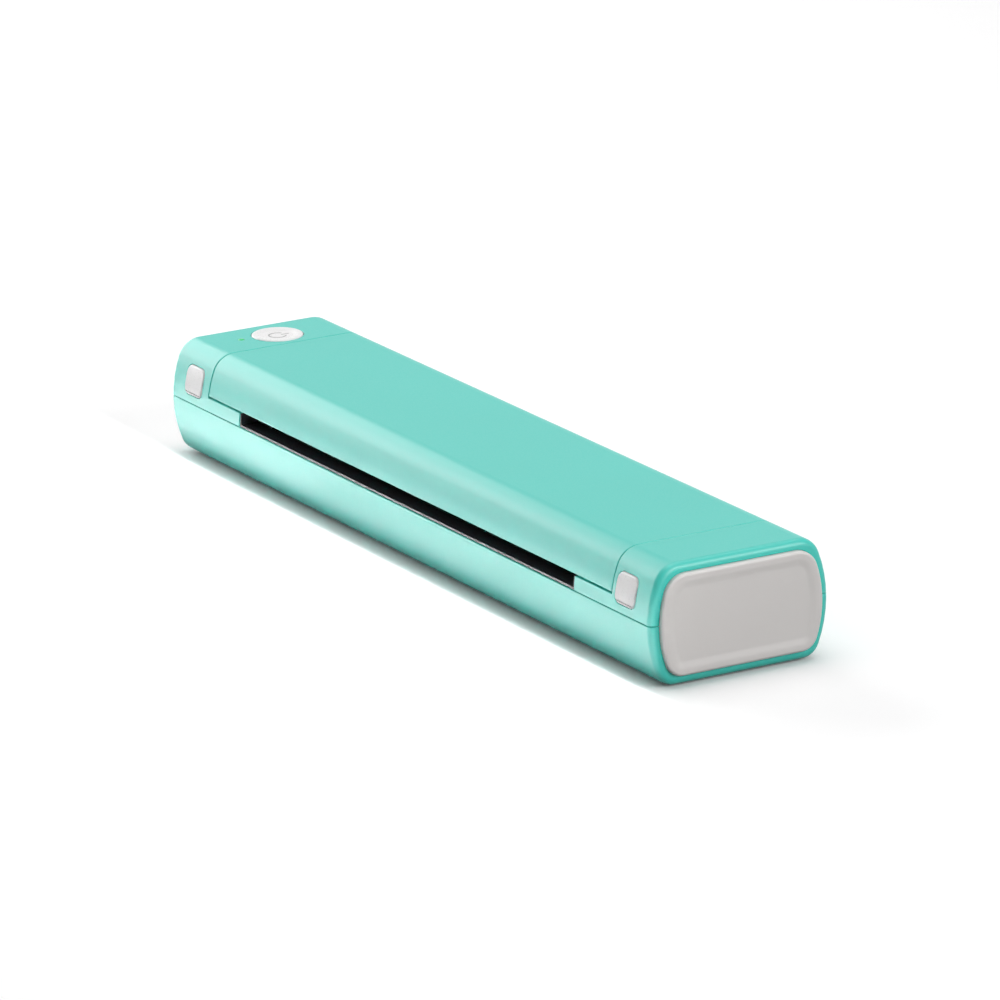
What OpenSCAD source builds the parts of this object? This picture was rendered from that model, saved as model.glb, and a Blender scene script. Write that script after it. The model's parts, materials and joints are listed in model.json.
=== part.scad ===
// A4 portable thermal printer with a hinged top cover.
// X runs along the body, -Y is the front with the paper slot and +Z is up.
// The origin is on the table, under the middle of the body.

/* [Case] */
// Room between a ribbon roll's trough and the widest point of the case
side_room = 7.05; // [6.7:0.05:9]
// Gap between the platen frame and the roof of the cover
roof_gap = 0.5; // [0.3:0.1:3]
// Room between the motor's bracket and the end of the cover
end_room = 4.15; // [3.6:0.05:8]
// Height of the widest point above the underside
belly_z = 19.2; // [17:0.1:21]
// Radius of the bulged front and rear sides
belly_r = 39.4; // [37:0.1:60]
// Radius of the top edges
top_r = 8.3; // [7:0.1:9]
// Radius of the bottom edges
bottom_r = 6.4; // [6:0.1:7.5]
// Radius of the rounding at both ends
end_r = 2.3; // [1:0.1:2.8]
// Wall thickness of the mouldings
wall = 2; // [1.6:0.1:2.2]
// Gap at every seam between mouldings
seam = 0.3; // [0.25:0.05:0.4]
// Gap below the cover's front and rear edges
skirt_gap = 0.6; // [0.3:0.05:0.8]
// Height of the parting line between the lower and upper case
parting_z = 20; // [19.6:0.1:20.4]
// Gap at the parting line
parting_gap = 0.2; // [0.1:0.05:0.3]
// Depth of the joint rails that reach down into the lower case
rail_depth = 2.6; // [2:0.1:2.8]
// Thickness of the joint rails and of the ledge under the cover
rail_t = 1.2; // [1:0.1:1.4]

/* [Cover] */
// Length of the left end of the case, up to the cover
left_end = 26.2; // [25.6:0.1:28]
// Length of the right end of the case, up to the cover
right_end = 23.5; // [22.6:0.1:25]
// Height of the cover's lower edge above the underside
cover_z = 25.4; // [25.2:0.1:26]
// Height of the hinge axis above the cover's lower edge
hinge_up = 2.8; // [2.6:0.1:3]
// Distance from the hinge axis to the rear face
hinge_in = 2.7; // [2.6:0.05:2.8]
// Radius of the hinge pins
hinge_pin_r = 0.8; // [0.7:0.05:0.9]
// Radius of the hinge knuckles
knuckle_r = 2.2; // [2.1:0.05:2.3]
// Length of one hinge knuckle
knuckle_l = 4; // [3:0.1:4]
// Number of paper guide ribs along the cover
cover_ribs = 12; // [6:1:16]
// Thickness of a paper guide rib
rib_t = 1.2; // [0.8:0.1:1.6]

/* [Paper path] */
// Width of the widest sheet
paper_w = 216; // [180:1:240]
// Room beside that sheet in the paper slot
slot_room = 0.3; // [0.2:0.1:0.9]
// Thickness of the black cheeks at both ends of the slot
cheek_t = 0.6; // [0.4:0.1:0.8]
// Height of the lip inside the slot above the parting line
lip_up = 0.95; // [0.8:0.05:1]
// Set-back of that lip from the case's face
lip_in = 0.4; // [0.3:0.1:1]
// Clear gap between the platen and the print head
nip_gap = 0.4; // [0.35:0.05:0.5]

/* [Platen] */
// Diameter of the platen roller
platen_d = 12; // [11.6:0.1:12.2]
// Length of the platen's rubber beyond the sheet, at each end
platen_over = 1; // [0:0.1:1.2]
// Air between the platen and the roof of its frame
platen_air = 0.6; // [0.4:0.1:1]
// Diameter of the platen's steel core
platen_core_d = 8; // [7:0.1:9]
// Radius of the platen's journals
journal_r = 2; // [1.8:0.1:2.2]
// Outer radius of the platen's bushes
bush_r = 3; // [2.8:0.1:3.4]
// Thickness of the steel platen frame
frame_t = 1; // [0.8:0.1:1.1]
// Width of the platen frame's roof
frame_w = 16; // [15:0.5:17]

/* [Ribbon] */
// Radius of each ribbon roll
roll_r = 7.5; // [7:0.1:7.6]
// Radius of the cores under the ribbon rolls
core_r = 4; // [3.6:0.1:4.6]
// Radius of the cores' journals
spool_journal_r = 2; // [1.8:0.1:2.2]
// Distance from the middle to each ribbon roll's axis
roll_y = 17; // [16.9:0.05:17.1]
// Clearance between a ribbon roll and its trough
trough_gap = 0.6; // [0.5:0.05:0.7]
// Thickness at which the ribbon film is drawn
film_t = 0.12; // [0.1:0.01:0.15]

/* [Print head] */
// Width of the print head
head_w = 11; // [10:0.2:11.4]
// Thickness of the ceramic plate
ceramic_t = 1; // [0.8:0.1:1.2]
// Height of the heater ridge on the ceramic
heater_h = 0.1; // [0.08:0.01:0.12]
// Height of the aluminium bar under the ceramic
heatsink_h = 4; // [3.6:0.1:4.2]
// Travel by which the head gives way downwards
head_travel = 0.6; // [0.4:0.1:0.7]
// Number of springs under the head
head_spring_count = 4; // [3:1:6]
// Outer radius of the head springs
head_spring_r = 2.5; // [2:0.1:3]

/* [Gears] */
// Module of all gears
gear_m = 0.7; // [0.69:0.005:0.71]
// Teeth of the platen gear
platen_teeth = 20; // [20:1:20]
// Teeth of the idler gear
idler_teeth = 24; // [24:1:24]
// Teeth of the take-up gear
takeup_teeth = 25; // [25:1:25]
// Teeth of the reduction gear's small wheel
small_teeth = 14; // [14:1:14]
// Teeth of the reduction gear's large wheel
large_teeth = 28; // [28:1:28]
// Teeth of the motor pinion
pinion_teeth = 10; // [10:1:10]
// Play between meshing teeth, at the pitch circle
backlash = 0.12; // [0.08:0.01:0.16]
// Width of the gears
gear_w = 4; // [3:0.1:4.2]
// Radius of the gear axles
axle_r = 1.2; // [1:0.1:1.4]
// Running clearance of shafts in their bores
running = 0.04; // [0.02:0.01:0.08]

/* [Motor] */
// Diameter of the stepper motor
motor_d = 19; // [17:0.5:19]
// Length of the stepper motor
motor_l = 18; // [14:0.5:18]
// Angle of the motor above the reduction gear
motor_angle = 10; // [6:1:12]

/* [Buttons] */
// Width of a push button
push_w = 11.7; // [11:0.1:13]
// Height of a push button
push_h = 9.7; // [9.5:0.1:10.6]
// Corner radius of a push button
push_r = 2.5; // [1.5:0.1:3]
// Distance from the case's end to the middle of a push button
push_in = 15.6; // [15:0.1:16]
// Height of the middle of a push button
push_z = 27.9; // [27.6:0.1:28.2]
// Travel of a push button
push_travel = 2; // [1.5:0.1:2.2]
// Gap around a button in its window
button_gap = 0.25; // [0.2:0.05:0.3]
// Height by which the buttons stand proud
button_proud = 0.3; // [0.2:0.05:0.5]
// Diameter of the power button
power_d = 17.5; // [17:0.5:20]
// Distance from the case's left end to the power button's middle
power_in = 14.8; // [14:0.1:15]
// Distance of the power button's middle behind the middle
power_y = 1.3; // [0:0.1:2]
// Travel of the power button
power_travel = 0.6; // [0.4:0.05:0.7]
// Depth of the dish in the power button
power_dish = 0.35; // [0.2:0.05:0.5]
// Diameter of the status light
light_d = 2.2; // [1.8:0.1:2.6]
// Distance of the status light in front of the power button's middle
light_off = 13.1; // [12.6:0.1:13.4]

/* [End caps] */
// Margin of bare case around an end cap
cap_in = 3.2; // [3:0.1:3.6]
// Radius by which an end cap's corners are softer than the case's edges
cap_soft = 2.6; // [0:0.1:3]
// Height by which an end cap stands proud
cap_proud = 1.8; // [1:0.1:2]
// Depth of the recess that holds an end cap
cap_seat = 1.2; // [1:0.1:1.4]
// Rounding of an end cap's outer edge
cap_r = 1; // [0.5:0.1:1]
// Depth of the dish in an end cap
cap_dish = 0.8; // [0.3:0.05:1]
// Width of the rim around that dish
cap_rim = 2; // [1.6:0.1:2.6]
// Width of the slope inside that rim
cap_slope = 1.8; // [1:0.1:2.4]
// Thickness of the case behind an end cap
end_wall = 1.6; // [1.4:0.1:1.8]

/* [Feet and fasteners] */
// Height of the feet below the case
foot_h = 0.7; // [0.5:0.1:1]
// Diameter of a foot
foot_d = 9; // [8:0.5:10]
// Depth of the recess that holds a foot
foot_seat = 0.6; // [0.4:0.1:0.8]
// Distance of the feet from the middle along the body
foot_x = 138; // [130:1:140]
// Distance of the feet from the middle across the body
foot_y = 17; // [15:0.5:18]
// Radius of the case screws
screw_r = 1; // [0.9:0.05:1.1]
// Length of the case screws
screw_l = 12; // [10:0.5:13]

/* [Electronics] */
// Thickness of the circuit boards
board_t = 1.4; // [1.2:0.1:1.6]
// Height of the main board above the underside
board_z = 12.5; // [12.3:0.1:12.8]
// Height of the battery pack
battery_h = 8.6; // [7:0.1:9]
// Width of the battery pack
battery_w = 39; // [34:1:39]
// Width of the charging socket
socket_w = 9; // [8.9:0.1:9.3]
// Height of the charging socket
socket_h = 3.2; // [3.1:0.05:3.3]
// Depth of the key board below the roof
key_drop = 7; // [6.7:0.1:7.1]
// Width of the paper sensor
sensor_w = 2; // [1.6:0.1:2.1]

/* [Hidden] */
$fn = 48;

teal = "#6fd6c8";
white = "#f6f4f5";
grey = "#bfbdbb";
black = "#26282a";
steel = "#b9bcc0";

// The case is as long, wide and high as the paper, the rolls and the platen make it.
// Its rounded section: a flat top and underside, four edge arcs and two bulged sides
slot_w = paper_w + 2 * slot_room;
ribbon_w = paper_w;
platen_l = paper_w + 2 * platen_over;
body_w = 2 * (roll_y + roll_r + trough_gap + side_room);
nip_z = (parting_z + cover_z) / 2;
platen_z = nip_z + nip_gap / 2 + platen_d / 2;
frame_roof = platen_z + platen_d / 2 + platen_air + frame_t;
ceiling = frame_roof + roof_gap;
body_h = ceiling + wall;
belly_y = body_w / 2 - belly_r;
arc_steps = 8;
fit = 0.1;

function arc(cy, cz, r, from, to) = [for (i = [0 : arc_steps])
    let (a = from + (to - from) * i / arc_steps) [cy + r * cos(a), cz + r * sin(a)]];
// Where the centre of an edge arc of radius r lies, at height z
function edge_y(r, z) = belly_y + sqrt(pow(belly_r - r, 2) - pow(z - belly_z, 2));
function half_section(d, rt, rb) = let (
        tz = body_h - rt, ty = edge_y(rt, tz), by = edge_y(rb, rb),
        ta = atan2(tz - belly_z, ty - belly_y), ba = atan2(rb - belly_z, by - belly_y)) concat(
    arc(ty, tz, rt - d, 90, ta),
    [for (i = [1 : arc_steps]) arc(belly_y, belly_z, belly_r - d, ta, ba)[i]],
    [for (i = [1 : arc_steps]) arc(by, rb, rb - d, ba, -90)[i]]);
// The whole section, moved in by d; with softer edges where an end cap needs them
function section(d, soft = 0) = let (half = half_section(d, top_r + soft, bottom_r + soft),
        n = len(half)) concat(half, [for (i = [n - 1 : -1 : 0]) [-half[i][0], half[i][1]]]);
// Half width of the section inset by d, at height z on the bulged side
function side_y(z, d = 0) = belly_y + sqrt(pow(belly_r - d, 2) - pow(z - belly_z, 2));

// Places along the body, measured outwards from the paper path's middle
slot_u = slot_w / 2;
window_u = slot_u + cheek_t + fit;
plate_u0 = platen_l / 2 + 1;
plate_t = 1.6;
plate_u1 = plate_u0 + plate_t;
bearing_u0 = plate_u1 + 0.6;
bearing_u1 = bearing_u0 + frame_t;
wheel_u0 = plate_u1 + 3.4;
wheel_u1 = wheel_u0 + gear_w;
wheel2_u0 = wheel_u1 + 1.5;
wheel2_u1 = wheel2_u0 + gear_w;
bracket_u0 = wheel2_u1 + 1.5;
bracket_t = 1;
motor_u0 = bracket_u0 + bracket_t;

// Places along the body, measured from its middle
bay_l = 2 * (motor_u0 + end_room);
body_l = left_end + bay_l + right_end;
half_l = body_l / 2;
cavity_x = half_l - cap_seat - end_wall;
left_face = -half_l + left_end;
right_face = half_l - right_end;
path_x = (left_face + right_face) / 2;
cover_x0 = left_face + seam;
cover_x1 = right_face - seam;
bulkhead_t = 1.3;
ledge_w = 2.2;

// Heights and axes of the mechanism
strip_z = cover_z - skirt_gap;
lip_z = parting_z + lip_up;
head_top = nip_z - nip_gap / 2;
ceramic_z = head_top - heater_h;
heatsink_z = ceramic_z - ceramic_t;
head_bottom = heatsink_z - heatsink_h;
hinge_z = cover_z + hinge_up;
hinge_y = side_y(hinge_z) - hinge_in;
function centres(a, b) = gear_m * (a + b) / 2;
idler_z = platen_z - centres(platen_teeth, idler_teeth);
roll_z = idler_z - sqrt(pow(centres(idler_teeth, takeup_teeth), 2) - pow(roll_y, 2));
reduction_y = centres(idler_teeth, small_teeth);
motor_y = reduction_y - centres(large_teeth, pinion_teeth) * cos(motor_angle);
motor_z = idler_z + centres(large_teeth, pinion_teeth) * sin(motor_angle);

// Latch, from the button inwards
flange_y = -side_y(push_z + push_h / 2 + 1, wall) + 0.4;
flange_t = 1.2;
flange_rim = 1.1;
latch_y0 = flange_y + 3.4;
latch_t = 2;
latch_z0 = 22.7;
latch_z1 = 26;
hook_w = 5;
hook_reach = 1;
latch_gap = 0.25;
hook_u = plate_u1 + 11.4;
leg_y0 = latch_y0 - 3.4;
leg_t = 1.2;
tooth_z0 = 22;
tooth_z1 = 23.9;
seat_y = flange_y + 14;
seat_t = 1.5;
latch_spring_r = 2.2;
spring_z = 27;
stem_w = 7;
stem_top = 29.6;

power_x = -half_l + power_in;
light_x = power_x - 1.3;
light_y = power_y - light_off;
board_x0 = -half_l + 4.6;
board_x1 = path_x - plate_u1 - 6.75;
key_board_z = ceiling - key_drop;
boss_x = half_l - 5.4;
boss_y = 24;
boss_r = 3.2;
screw_seat = 12;
post_x = [board_x0 + 12.4, board_x1 - 2.4];
post_y = 22.6;
post_r = 1.9;
socket_x = board_x1 - 12.5;
frame_screw_u = [for (k = [-1, -0.34, 0.34, 1]) k * (plate_u0 - 10)];
frame_screw_y = frame_w / 2 + 3.5;
flange_z = frame_roof - 4.2;
hinge_u = plate_u1 + 10.2;
flange_w = frame_w / 2 + 6;
rib_margin = 6;

module raise() { translate([0, 0, foot_h]) children(); }
// A flat shape in Y and Z, carried from x0 to x1
module along_x(x0, x1) {
    translate([x0, 0, 0]) rotate([90, 0, 90]) linear_extrude(x1 - x0) children();
}
module slab(x0, x1, d, soft = 0) { along_x(x0, x1) polygon(section(d, soft)); }
module block(x0, x1, y0, y1, z0, z1) {
    translate([x0, y0, z0]) cube([x1 - x0, y1 - y0, z1 - z0]);
}
module rod(x0, x1, y, z, r) {
    translate([x0, y, z]) rotate([0, 90, 0]) cylinder(r = r, h = x1 - x0);
}
module post(x, y, z0, z1, r) { translate([x, y, z0]) cylinder(r = r, h = z1 - z0); }
module slice(x, d, soft = 0) {
    translate([x, 0, 0]) rotate([90, 0, 90]) linear_extrude(0.01) polygon(section(d, soft));
}

// The outer body: the section with rounded ends
end_steps = 5;
module body_end() {
    hull() for (i = [0 : end_steps]) let (a = 90 * i / end_steps)
        slice(half_l - end_r + end_r * sin(a) - 0.01, end_r * (1 - cos(a)));
}
module body_outer() {
    slab(-half_l + end_r, half_l - end_r, 0);
    for (side = [0, 1]) mirror([side, 0, 0]) body_end();
}
module cap_recess() {
    for (s = [-1, 1]) slab(s > 0 ? half_l - cap_seat : -half_l - 1,
        s > 0 ? half_l + 1 : -half_l + cap_seat, cap_in - fit, cap_soft);
}
module rounded_plate(w, h, r) {
    hull() for (x = [-1, 1], z = [-1, 1])
        translate([x * (w / 2 - r), z * (h / 2 - r)]) circle(r = r, $fn = 24);
}
// A rounded rectangle seen from the front, carried from y0 to y1
module front_block(x, z, w, h, r, y0, y1) {
    translate([x, y1, z]) rotate([90, 0, 0]) linear_extrude(y1 - y0) rounded_plate(w, h, r);
}

module lower_case() raise() color(teal) difference() {
    union() {
        difference() {
            intersection() {
                body_outer();
                block(-half_l - 1, half_l + 1, -body_w, body_w, -1, parting_z);
            }
            slab(-cavity_x, cavity_x, wall);
        }
        intersection() {
            union() {
                for (x = [-1, 1], y = [-1, 1])
                    post(x * boss_x, y * boss_y, wall / 2, parting_z, boss_r);
                for (x = post_x, y = [-1, 1]) post(x, y * post_y, wall / 2, board_z, post_r);
                // Ribs that locate the battery and the side plates
                for (x = [board_x0 + 1.2, board_x1 - 1.2])
                    block(x - 0.6, x + 0.6, -battery_w / 2, battery_w / 2, wall / 2, wall + 3);
                for (s = [-1, 1], y = [-1, 1]) let (near = path_x + s * (plate_u1 + fit),
                        far = path_x + s * (plate_u1 + fit + rib_t))
                    block(min(near, far), max(near, far), y > 0 ? 20 : -29, y > 0 ? 29 : -20,
                        wall / 2, wall + 4);
            }
            slab(-cavity_x - 0.5, cavity_x + 0.5, wall / 2);
        }
    }
    cap_recess();
    for (x = [-1, 1], y = [-1, 1]) {
        post(x * foot_x, y * foot_y, -1, foot_seat, foot_d / 2 + fit);
        post(x * boss_x, y * boss_y, -1, screw_seat, 2.2);
        post(x * boss_x, y * boss_y, screw_seat - 1, parting_z + 1, screw_r + 0.15);
    }
    for (x = post_x, y = [-1, 1]) post(x, y * post_y, board_z - 5, board_z + 1, 0.8);
    // Floor relief under the take-up gear
    rod(path_x + wheel_u0 - 0.6, path_x + wheel_u1 + 0.6, -roll_y, roll_z,
        gear_m * (takeup_teeth / 2 + 1) + seam);
    // Window for the charging socket
    translate([socket_x, body_w / 2 + 1, board_z + board_t + socket_h / 2]) rotate([90, 0, 0])
        linear_extrude(wall + 4) rounded_plate(socket_w + 0.4, socket_h + 0.4, 1.6);
}

// Everything of the top half that the cover takes the place of
module cover_space() {
    block(left_face, right_face, -body_w, body_w, strip_z, body_h + 1);
}
// A rod at the hinge, from u0 to u1 outwards from the paper path's middle, on side s
module hinge_rod(s, u0, u1, r) {
    rod(path_x + min(s * u0, s * u1), path_x + max(s * u0, s * u1), hinge_y, hinge_z, r);
}
hinge_sweep = sqrt(pow(side_y(cover_z) - hinge_y, 2) + pow(hinge_up, 2)) + 0.3;

module upper_case() raise() color(teal) difference() {
    union() {
        difference() {
            intersection() {
                body_outer();
                block(-half_l - 1, half_l + 1, -body_w, body_w, parting_z + parting_gap, body_h + 1);
            }
            slab(-cavity_x, cavity_x, wall);
            cover_space();
            // The strips behind the hinge are scooped out for the cover's rear edge
            for (s = [-1, 1]) hinge_rod(s, slot_u - 1, s > 0 ? right_face - path_x
                : path_x - left_face, hinge_sweep);
        }
        // Walls that close the two ends towards the cover, with a ledge under its edges
        for (s = [-1, 1]) intersection() {
            difference() {
                union() {
                    slab(s < 0 ? left_face - bulkhead_t : right_face,
                        s < 0 ? left_face : right_face + bulkhead_t, wall / 2);
                    slab(s < 0 ? left_face - 0.5 : right_face - ledge_w,
                        s < 0 ? left_face + ledge_w : right_face + 0.5, wall + seam);
                }
                slab(s < 0 ? left_face - 0.01 : right_face - ledge_w - 1,
                    s < 0 ? left_face + ledge_w + 1 : right_face + 0.01, wall + seam + rail_t);
                rod(s < 0 ? left_face : right_face - ledge_w - 1,
                    s < 0 ? left_face + ledge_w + 1 : right_face, hinge_y, hinge_z, hinge_sweep);
            }
            block(-half_l, half_l, -body_w, body_w, parting_z + parting_gap, body_h);
        }
        // Joint rails inside the lower case, front and rear
        for (y = [-1, 1]) difference() {
            intersection() {
                union() {
                    slab(-cavity_x + 4, cavity_x - 4, wall + parting_gap);
                    intersection() {
                        slab(-cavity_x + 4, cavity_x - 4, wall / 2);
                        block(-half_l, half_l, -body_w, body_w, parting_z + parting_gap, body_h);
                    }
                }
                block(-half_l, half_l, y > 0 ? 20 : -body_w, y > 0 ? body_w : -20,
                    parting_z - rail_depth, parting_z + 1.5);
            }
            slab(-cavity_x, cavity_x, wall + parting_gap + rail_t);
        }
        // Hinge ears
        for (s = [-1, 1]) intersection() {
            union() {
                hinge_rod(s, hinge_u - knuckle_l / 2, hinge_u + knuckle_l / 2, knuckle_r);
                block(path_x + s * hinge_u - knuckle_l / 2, path_x + s * hinge_u + knuckle_l / 2,
                    hinge_y - knuckle_r + 0.4, hinge_y + knuckle_r, parting_z + parting_gap, hinge_z);
            }
            slab(left_face, right_face, 0.2);
        }
        // Screw bosses, seats of the latch springs and bosses of the key board
        intersection() {
            union() {
                for (x = [-1, 1], y = [-1, 1])
                    post(x * boss_x, y * boss_y, parting_z + parting_gap, body_h - wall / 2, boss_r - 0.4);
                for (s = [-1, 1]) let (face = s < 0 ? left_face : right_face,
                        end = s * (half_l - push_in + 3.6))
                    block(min(face, end), max(face, end), seat_y, seat_y + seat_t,
                        spring_z - 5, spring_z + 2.6);
                for (p = key_boss) post(p[0], p[1], key_board_z + board_t, body_h - wall / 2, 1.9);
            }
            slab(-cavity_x - 0.5, cavity_x + 0.5, wall / 2);
        }
    }
    // The paper's way through, front to rear
    block(path_x - slot_u, path_x + slot_u, 0, body_w, parting_z, cover_z + 5);
    block(path_x - window_u, path_x + window_u, -body_w, 0.1, parting_z, cover_z + 5);
    cap_recess();
    for (s = [-1, 1]) {
        hinge_rod(s, hinge_u - knuckle_l, hinge_u + knuckle_l, hinge_pin_r + 0.01);
        // Window for the push button, and the way of the latch through the end wall
        front_block(s * (half_l - push_in), push_z, push_w + 2 * button_gap,
            push_h + 2 * button_gap, push_r + button_gap, -body_w, flange_y + 2);
        block(s < 0 ? left_face - bulkhead_t - 1 : right_face - ledge_w - 1,
            s < 0 ? left_face + ledge_w + 1 : right_face + bulkhead_t + 1,
            latch_y0 - 0.6, latch_y0 + latch_t + push_travel + 0.6, latch_z0 - 0.6, latch_z1 + 0.6);
    }
    for (x = [-1, 1], y = [-1, 1])
        post(x * boss_x, y * boss_y, parting_z - 1, screw_seat + screw_l + 1, screw_r + 0.01);
    for (p = key_boss) post(p[0], p[1], key_board_z, key_board_z + board_t + 4.2, 0.8);
    // Motor clearance, power button and status light
    rod(right_face - ledge_w - 1, right_face + bulkhead_t + 1, motor_y, motor_z, motor_d / 2 + 0.5);
    post(power_x, power_y, body_h - wall - 1, body_h + 1, power_d / 2 + button_gap);
    post(power_x, power_y, power_flange_z - power_travel - seam, ceiling, power_flange_r + seam);
    post(light_x, light_y, body_h - wall - 1, body_h + 1, light_d / 2 + 0.1);
}
key_boss = [[power_x - 9.4, power_y + 9.4], [power_x + 7.4, power_y - 10.4]];

module cover() raise() color(teal) difference() {
    union() {
        difference() {
            intersection() {
                slab(cover_x0, cover_x1, 0);
                block(cover_x0, cover_x1, -body_w, body_w, cover_z, body_h + 1);
            }
            slab(cover_x0 - 1, cover_x1 + 1, wall);
            // Notches for the hinge ears
            for (s = [-1, 1])
                block(path_x + s * hinge_u - knuckle_l / 2 - seam,
                    path_x + s * hinge_u + knuckle_l / 2 + seam,
                    hinge_y - 4, body_w, cover_z - 1, hinge_z + knuckle_r + seam);
        }
        intersection() {
            union() {
                // Paper guide ribs, front and rear
                for (i = [0 : cover_ribs - 1], y = [-1, 1])
                    let (x = path_x + (i - (cover_ribs - 1) / 2) * (slot_w - 2 * rib_margin) / (cover_ribs - 1))
                    along_x(x - rib_t / 2, x + rib_t / 2) polygon([[y * 15.2, body_h],
                        [y * 15.2, nip_z + 1.6], [y * 22, cover_z + 0.6], [y * 30.6, cover_z + 0.6],
                        [y * 30.6, body_h]]);
                // Bosses for the platen frame
                for (u = frame_screw_u, y = [-1, 1])
                    post(path_x + u, y * frame_screw_y, flange_z + frame_t, body_h, 2.3);
                // Latch legs with their teeth
                for (s = [-1, 1]) along_x(path_x + s * hook_u - hook_w / 2,
                    path_x + s * hook_u + hook_w / 2)
                    polygon([[leg_y0, tooth_z0], [latch_y0 - hook_reach - latch_gap - 0.25, tooth_z0],
                        [latch_y0 - hook_reach - latch_gap, tooth_z0 + 0.5],
                        [latch_y0 - hook_reach - latch_gap, tooth_z1],
                        [leg_y0 + leg_t, tooth_z1], [leg_y0 + leg_t, body_h], [leg_y0, body_h]]);
            }
            slab(cover_x0 + 1, cover_x1 - 1, wall / 2);
        }
        for (s = [-1, 1], k = [-1, 1])
            hinge_rod(s, hinge_u + k * (knuckle_l + seam) - knuckle_l / 2,
                hinge_u + k * (knuckle_l + seam) + knuckle_l / 2, knuckle_r);
    }
    for (s = [-1, 1])
        hinge_rod(s, hinge_u - 3 * knuckle_l, hinge_u + 3 * knuckle_l, hinge_pin_r + running);
    for (u = frame_screw_u, y = [-1, 1])
        post(path_x + u, y * frame_screw_y, flange_z, flange_z + frame_t + 3.2, 1.01);
}

module hinge_pins() raise() color(steel) for (s = [-1, 1])
    hinge_rod(s, hinge_u - 1.5 * knuckle_l - seam, hinge_u + 1.5 * knuckle_l + seam, hinge_pin_r);

module cap(s) raise() color(grey) mirror([s < 0 ? 1 : 0, 0, 0]) difference() {
    hull() {
        slice(half_l - cap_seat, cap_in, cap_soft);
        for (i = [0 : 4]) let (a = 90 * i / 4)
            slice(half_l + cap_proud - cap_r + cap_r * sin(a) - 0.01,
                cap_in + cap_r * (1 - cos(a)), cap_soft);
    }
    // The dish: a shallow bowl with soft sides
    hull() for (i = [0 : 4]) let (a = 90 * i / 4)
        slice(half_l + cap_proud - cap_dish * sin(a), cap_in + cap_rim + cap_slope * (1 - cos(a)),
            cap_soft);
}
module end_cap_left() { cap(-1); }
module end_cap_right() { cap(1); }

module push_button(s) raise() color(white) {
    intersection() {
        front_block(s * (half_l - push_in), push_z, push_w, push_h, push_r, -body_w, flange_y + 0.1);
        slab(-half_l, half_l, -button_proud);
    }
    // The flange stops at the button's side towards the cover, clear of the end wall
    front_block(s * (half_l - push_in + flange_rim / 2), push_z, push_w + flange_rim,
        push_h + 2 * flange_rim, push_r, flange_y, flange_y + flange_t);
}
module push_button_left() { push_button(-1); }
module push_button_right() { push_button(1); }

// A slide behind the push button, with an arm to the hook above the cover's tooth
module latch_hook(s) raise() color(black) mirror([s > 0 ? 1 : 0, 0, 0]) let (
    button_x = -half_l + push_in, hook_x = -abs(path_x + s * hook_u)) {
    block(button_x - stem_w / 2, button_x + stem_w / 2, flange_y + flange_t, latch_y0 + latch_t,
        latch_z0, stem_top);
    block(button_x, hook_x + hook_w / 2, latch_y0, latch_y0 + latch_t, latch_z0, latch_z1);
    along_x(hook_x - hook_w / 2, hook_x + hook_w / 2) polygon([[latch_y0 + 0.1, latch_z1],
        [latch_y0 - hook_reach, tooth_z1 + 0.9], [latch_y0 - hook_reach, tooth_z1 + 0.3],
        [latch_y0 + 0.1, tooth_z1 + 0.3]]);
}
module latch_hook_left() { latch_hook(-1); }
module latch_hook_right() { latch_hook(1); }

// A coil spring standing on z = 0
spring_sides = 6;
curl_rings = 8;
function coil_point(r, wire, h, turns, i) = let (a = 360 * i / curl_rings)
    [(r - wire) * cos(a), (r - wire) * sin(a), wire + (h - 2 * wire) * i / (turns * curl_rings)];
module coil(r, wire, h, turns) {
    rings = turns * curl_rings;
    points = [for (i = [0 : rings], k = [0 : spring_sides - 1])
        let (c = coil_point(r, wire, h, turns, i), a = 360 * i / curl_rings, b = 360 * k / spring_sides)
        c + wire * [cos(b) * cos(a), cos(b) * sin(a), sin(b)]];
    sides = [for (i = [0 : rings - 1], k = [0 : spring_sides - 1])
        let (n = (k + 1) % spring_sides, a = i * spring_sides, b = a + spring_sides)
        each [[a + k, a + n, b + n], [a + k, b + n, b + k]]];
    ends = [[for (k = [spring_sides - 1 : -1 : 0]) k],
        [for (k = [0 : spring_sides - 1]) rings * spring_sides + k]];
    polyhedron(points, concat(sides, ends));
}
module latch_spring(s) raise() color(steel)
    translate([s * (half_l - push_in), latch_y0 + latch_t + 0.1, spring_z]) rotate([-90, 0, 0])
        coil(latch_spring_r, 0.25, seat_y - latch_y0 - latch_t - 0.2, 5);
module latch_spring_left() { latch_spring(-1); }
module latch_spring_right() { latch_spring(1); }

power_top = body_h + button_proud;
power_flange_z = ceiling - 0.3 - 0.8;
power_flange_r = power_d / 2 + 1;
switch_top = key_board_z + board_t + 3;
plunger_top = power_flange_z - 0.6;
module power_button() raise() color(white) translate([power_x, power_y, 0]) {
    rotate_extrude($fn = 96) polygon(concat([[0, power_flange_z], [power_flange_r, power_flange_z],
        [power_flange_r, power_flange_z + 0.8], [power_d / 2, power_flange_z + 0.8],
        [power_d / 2, power_top - 0.4], [power_d / 2 - 0.4, power_top]],
        [for (i = [0 : 6]) let (t = i / 6) [(power_d / 2 - 1.6) * (1 - t),
            power_top - power_dish * (1 - pow(1 - t, 2))]]));
    post(0, 0, plunger_top + 0.05, power_flange_z + 0.1, 2.2);
}
module switch_plunger() raise() color(black) post(power_x, power_y, switch_top - 1, plunger_top + 0.05, 1.6);
module power_switch() raise() color(steel) difference() {
    block(power_x - 3, power_x + 3, power_y - 3, power_y + 3, key_board_z + board_t, switch_top);
    post(power_x, power_y, switch_top - 1 - power_travel - 0.3, switch_top + 1, 1.6 + running);
}
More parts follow.
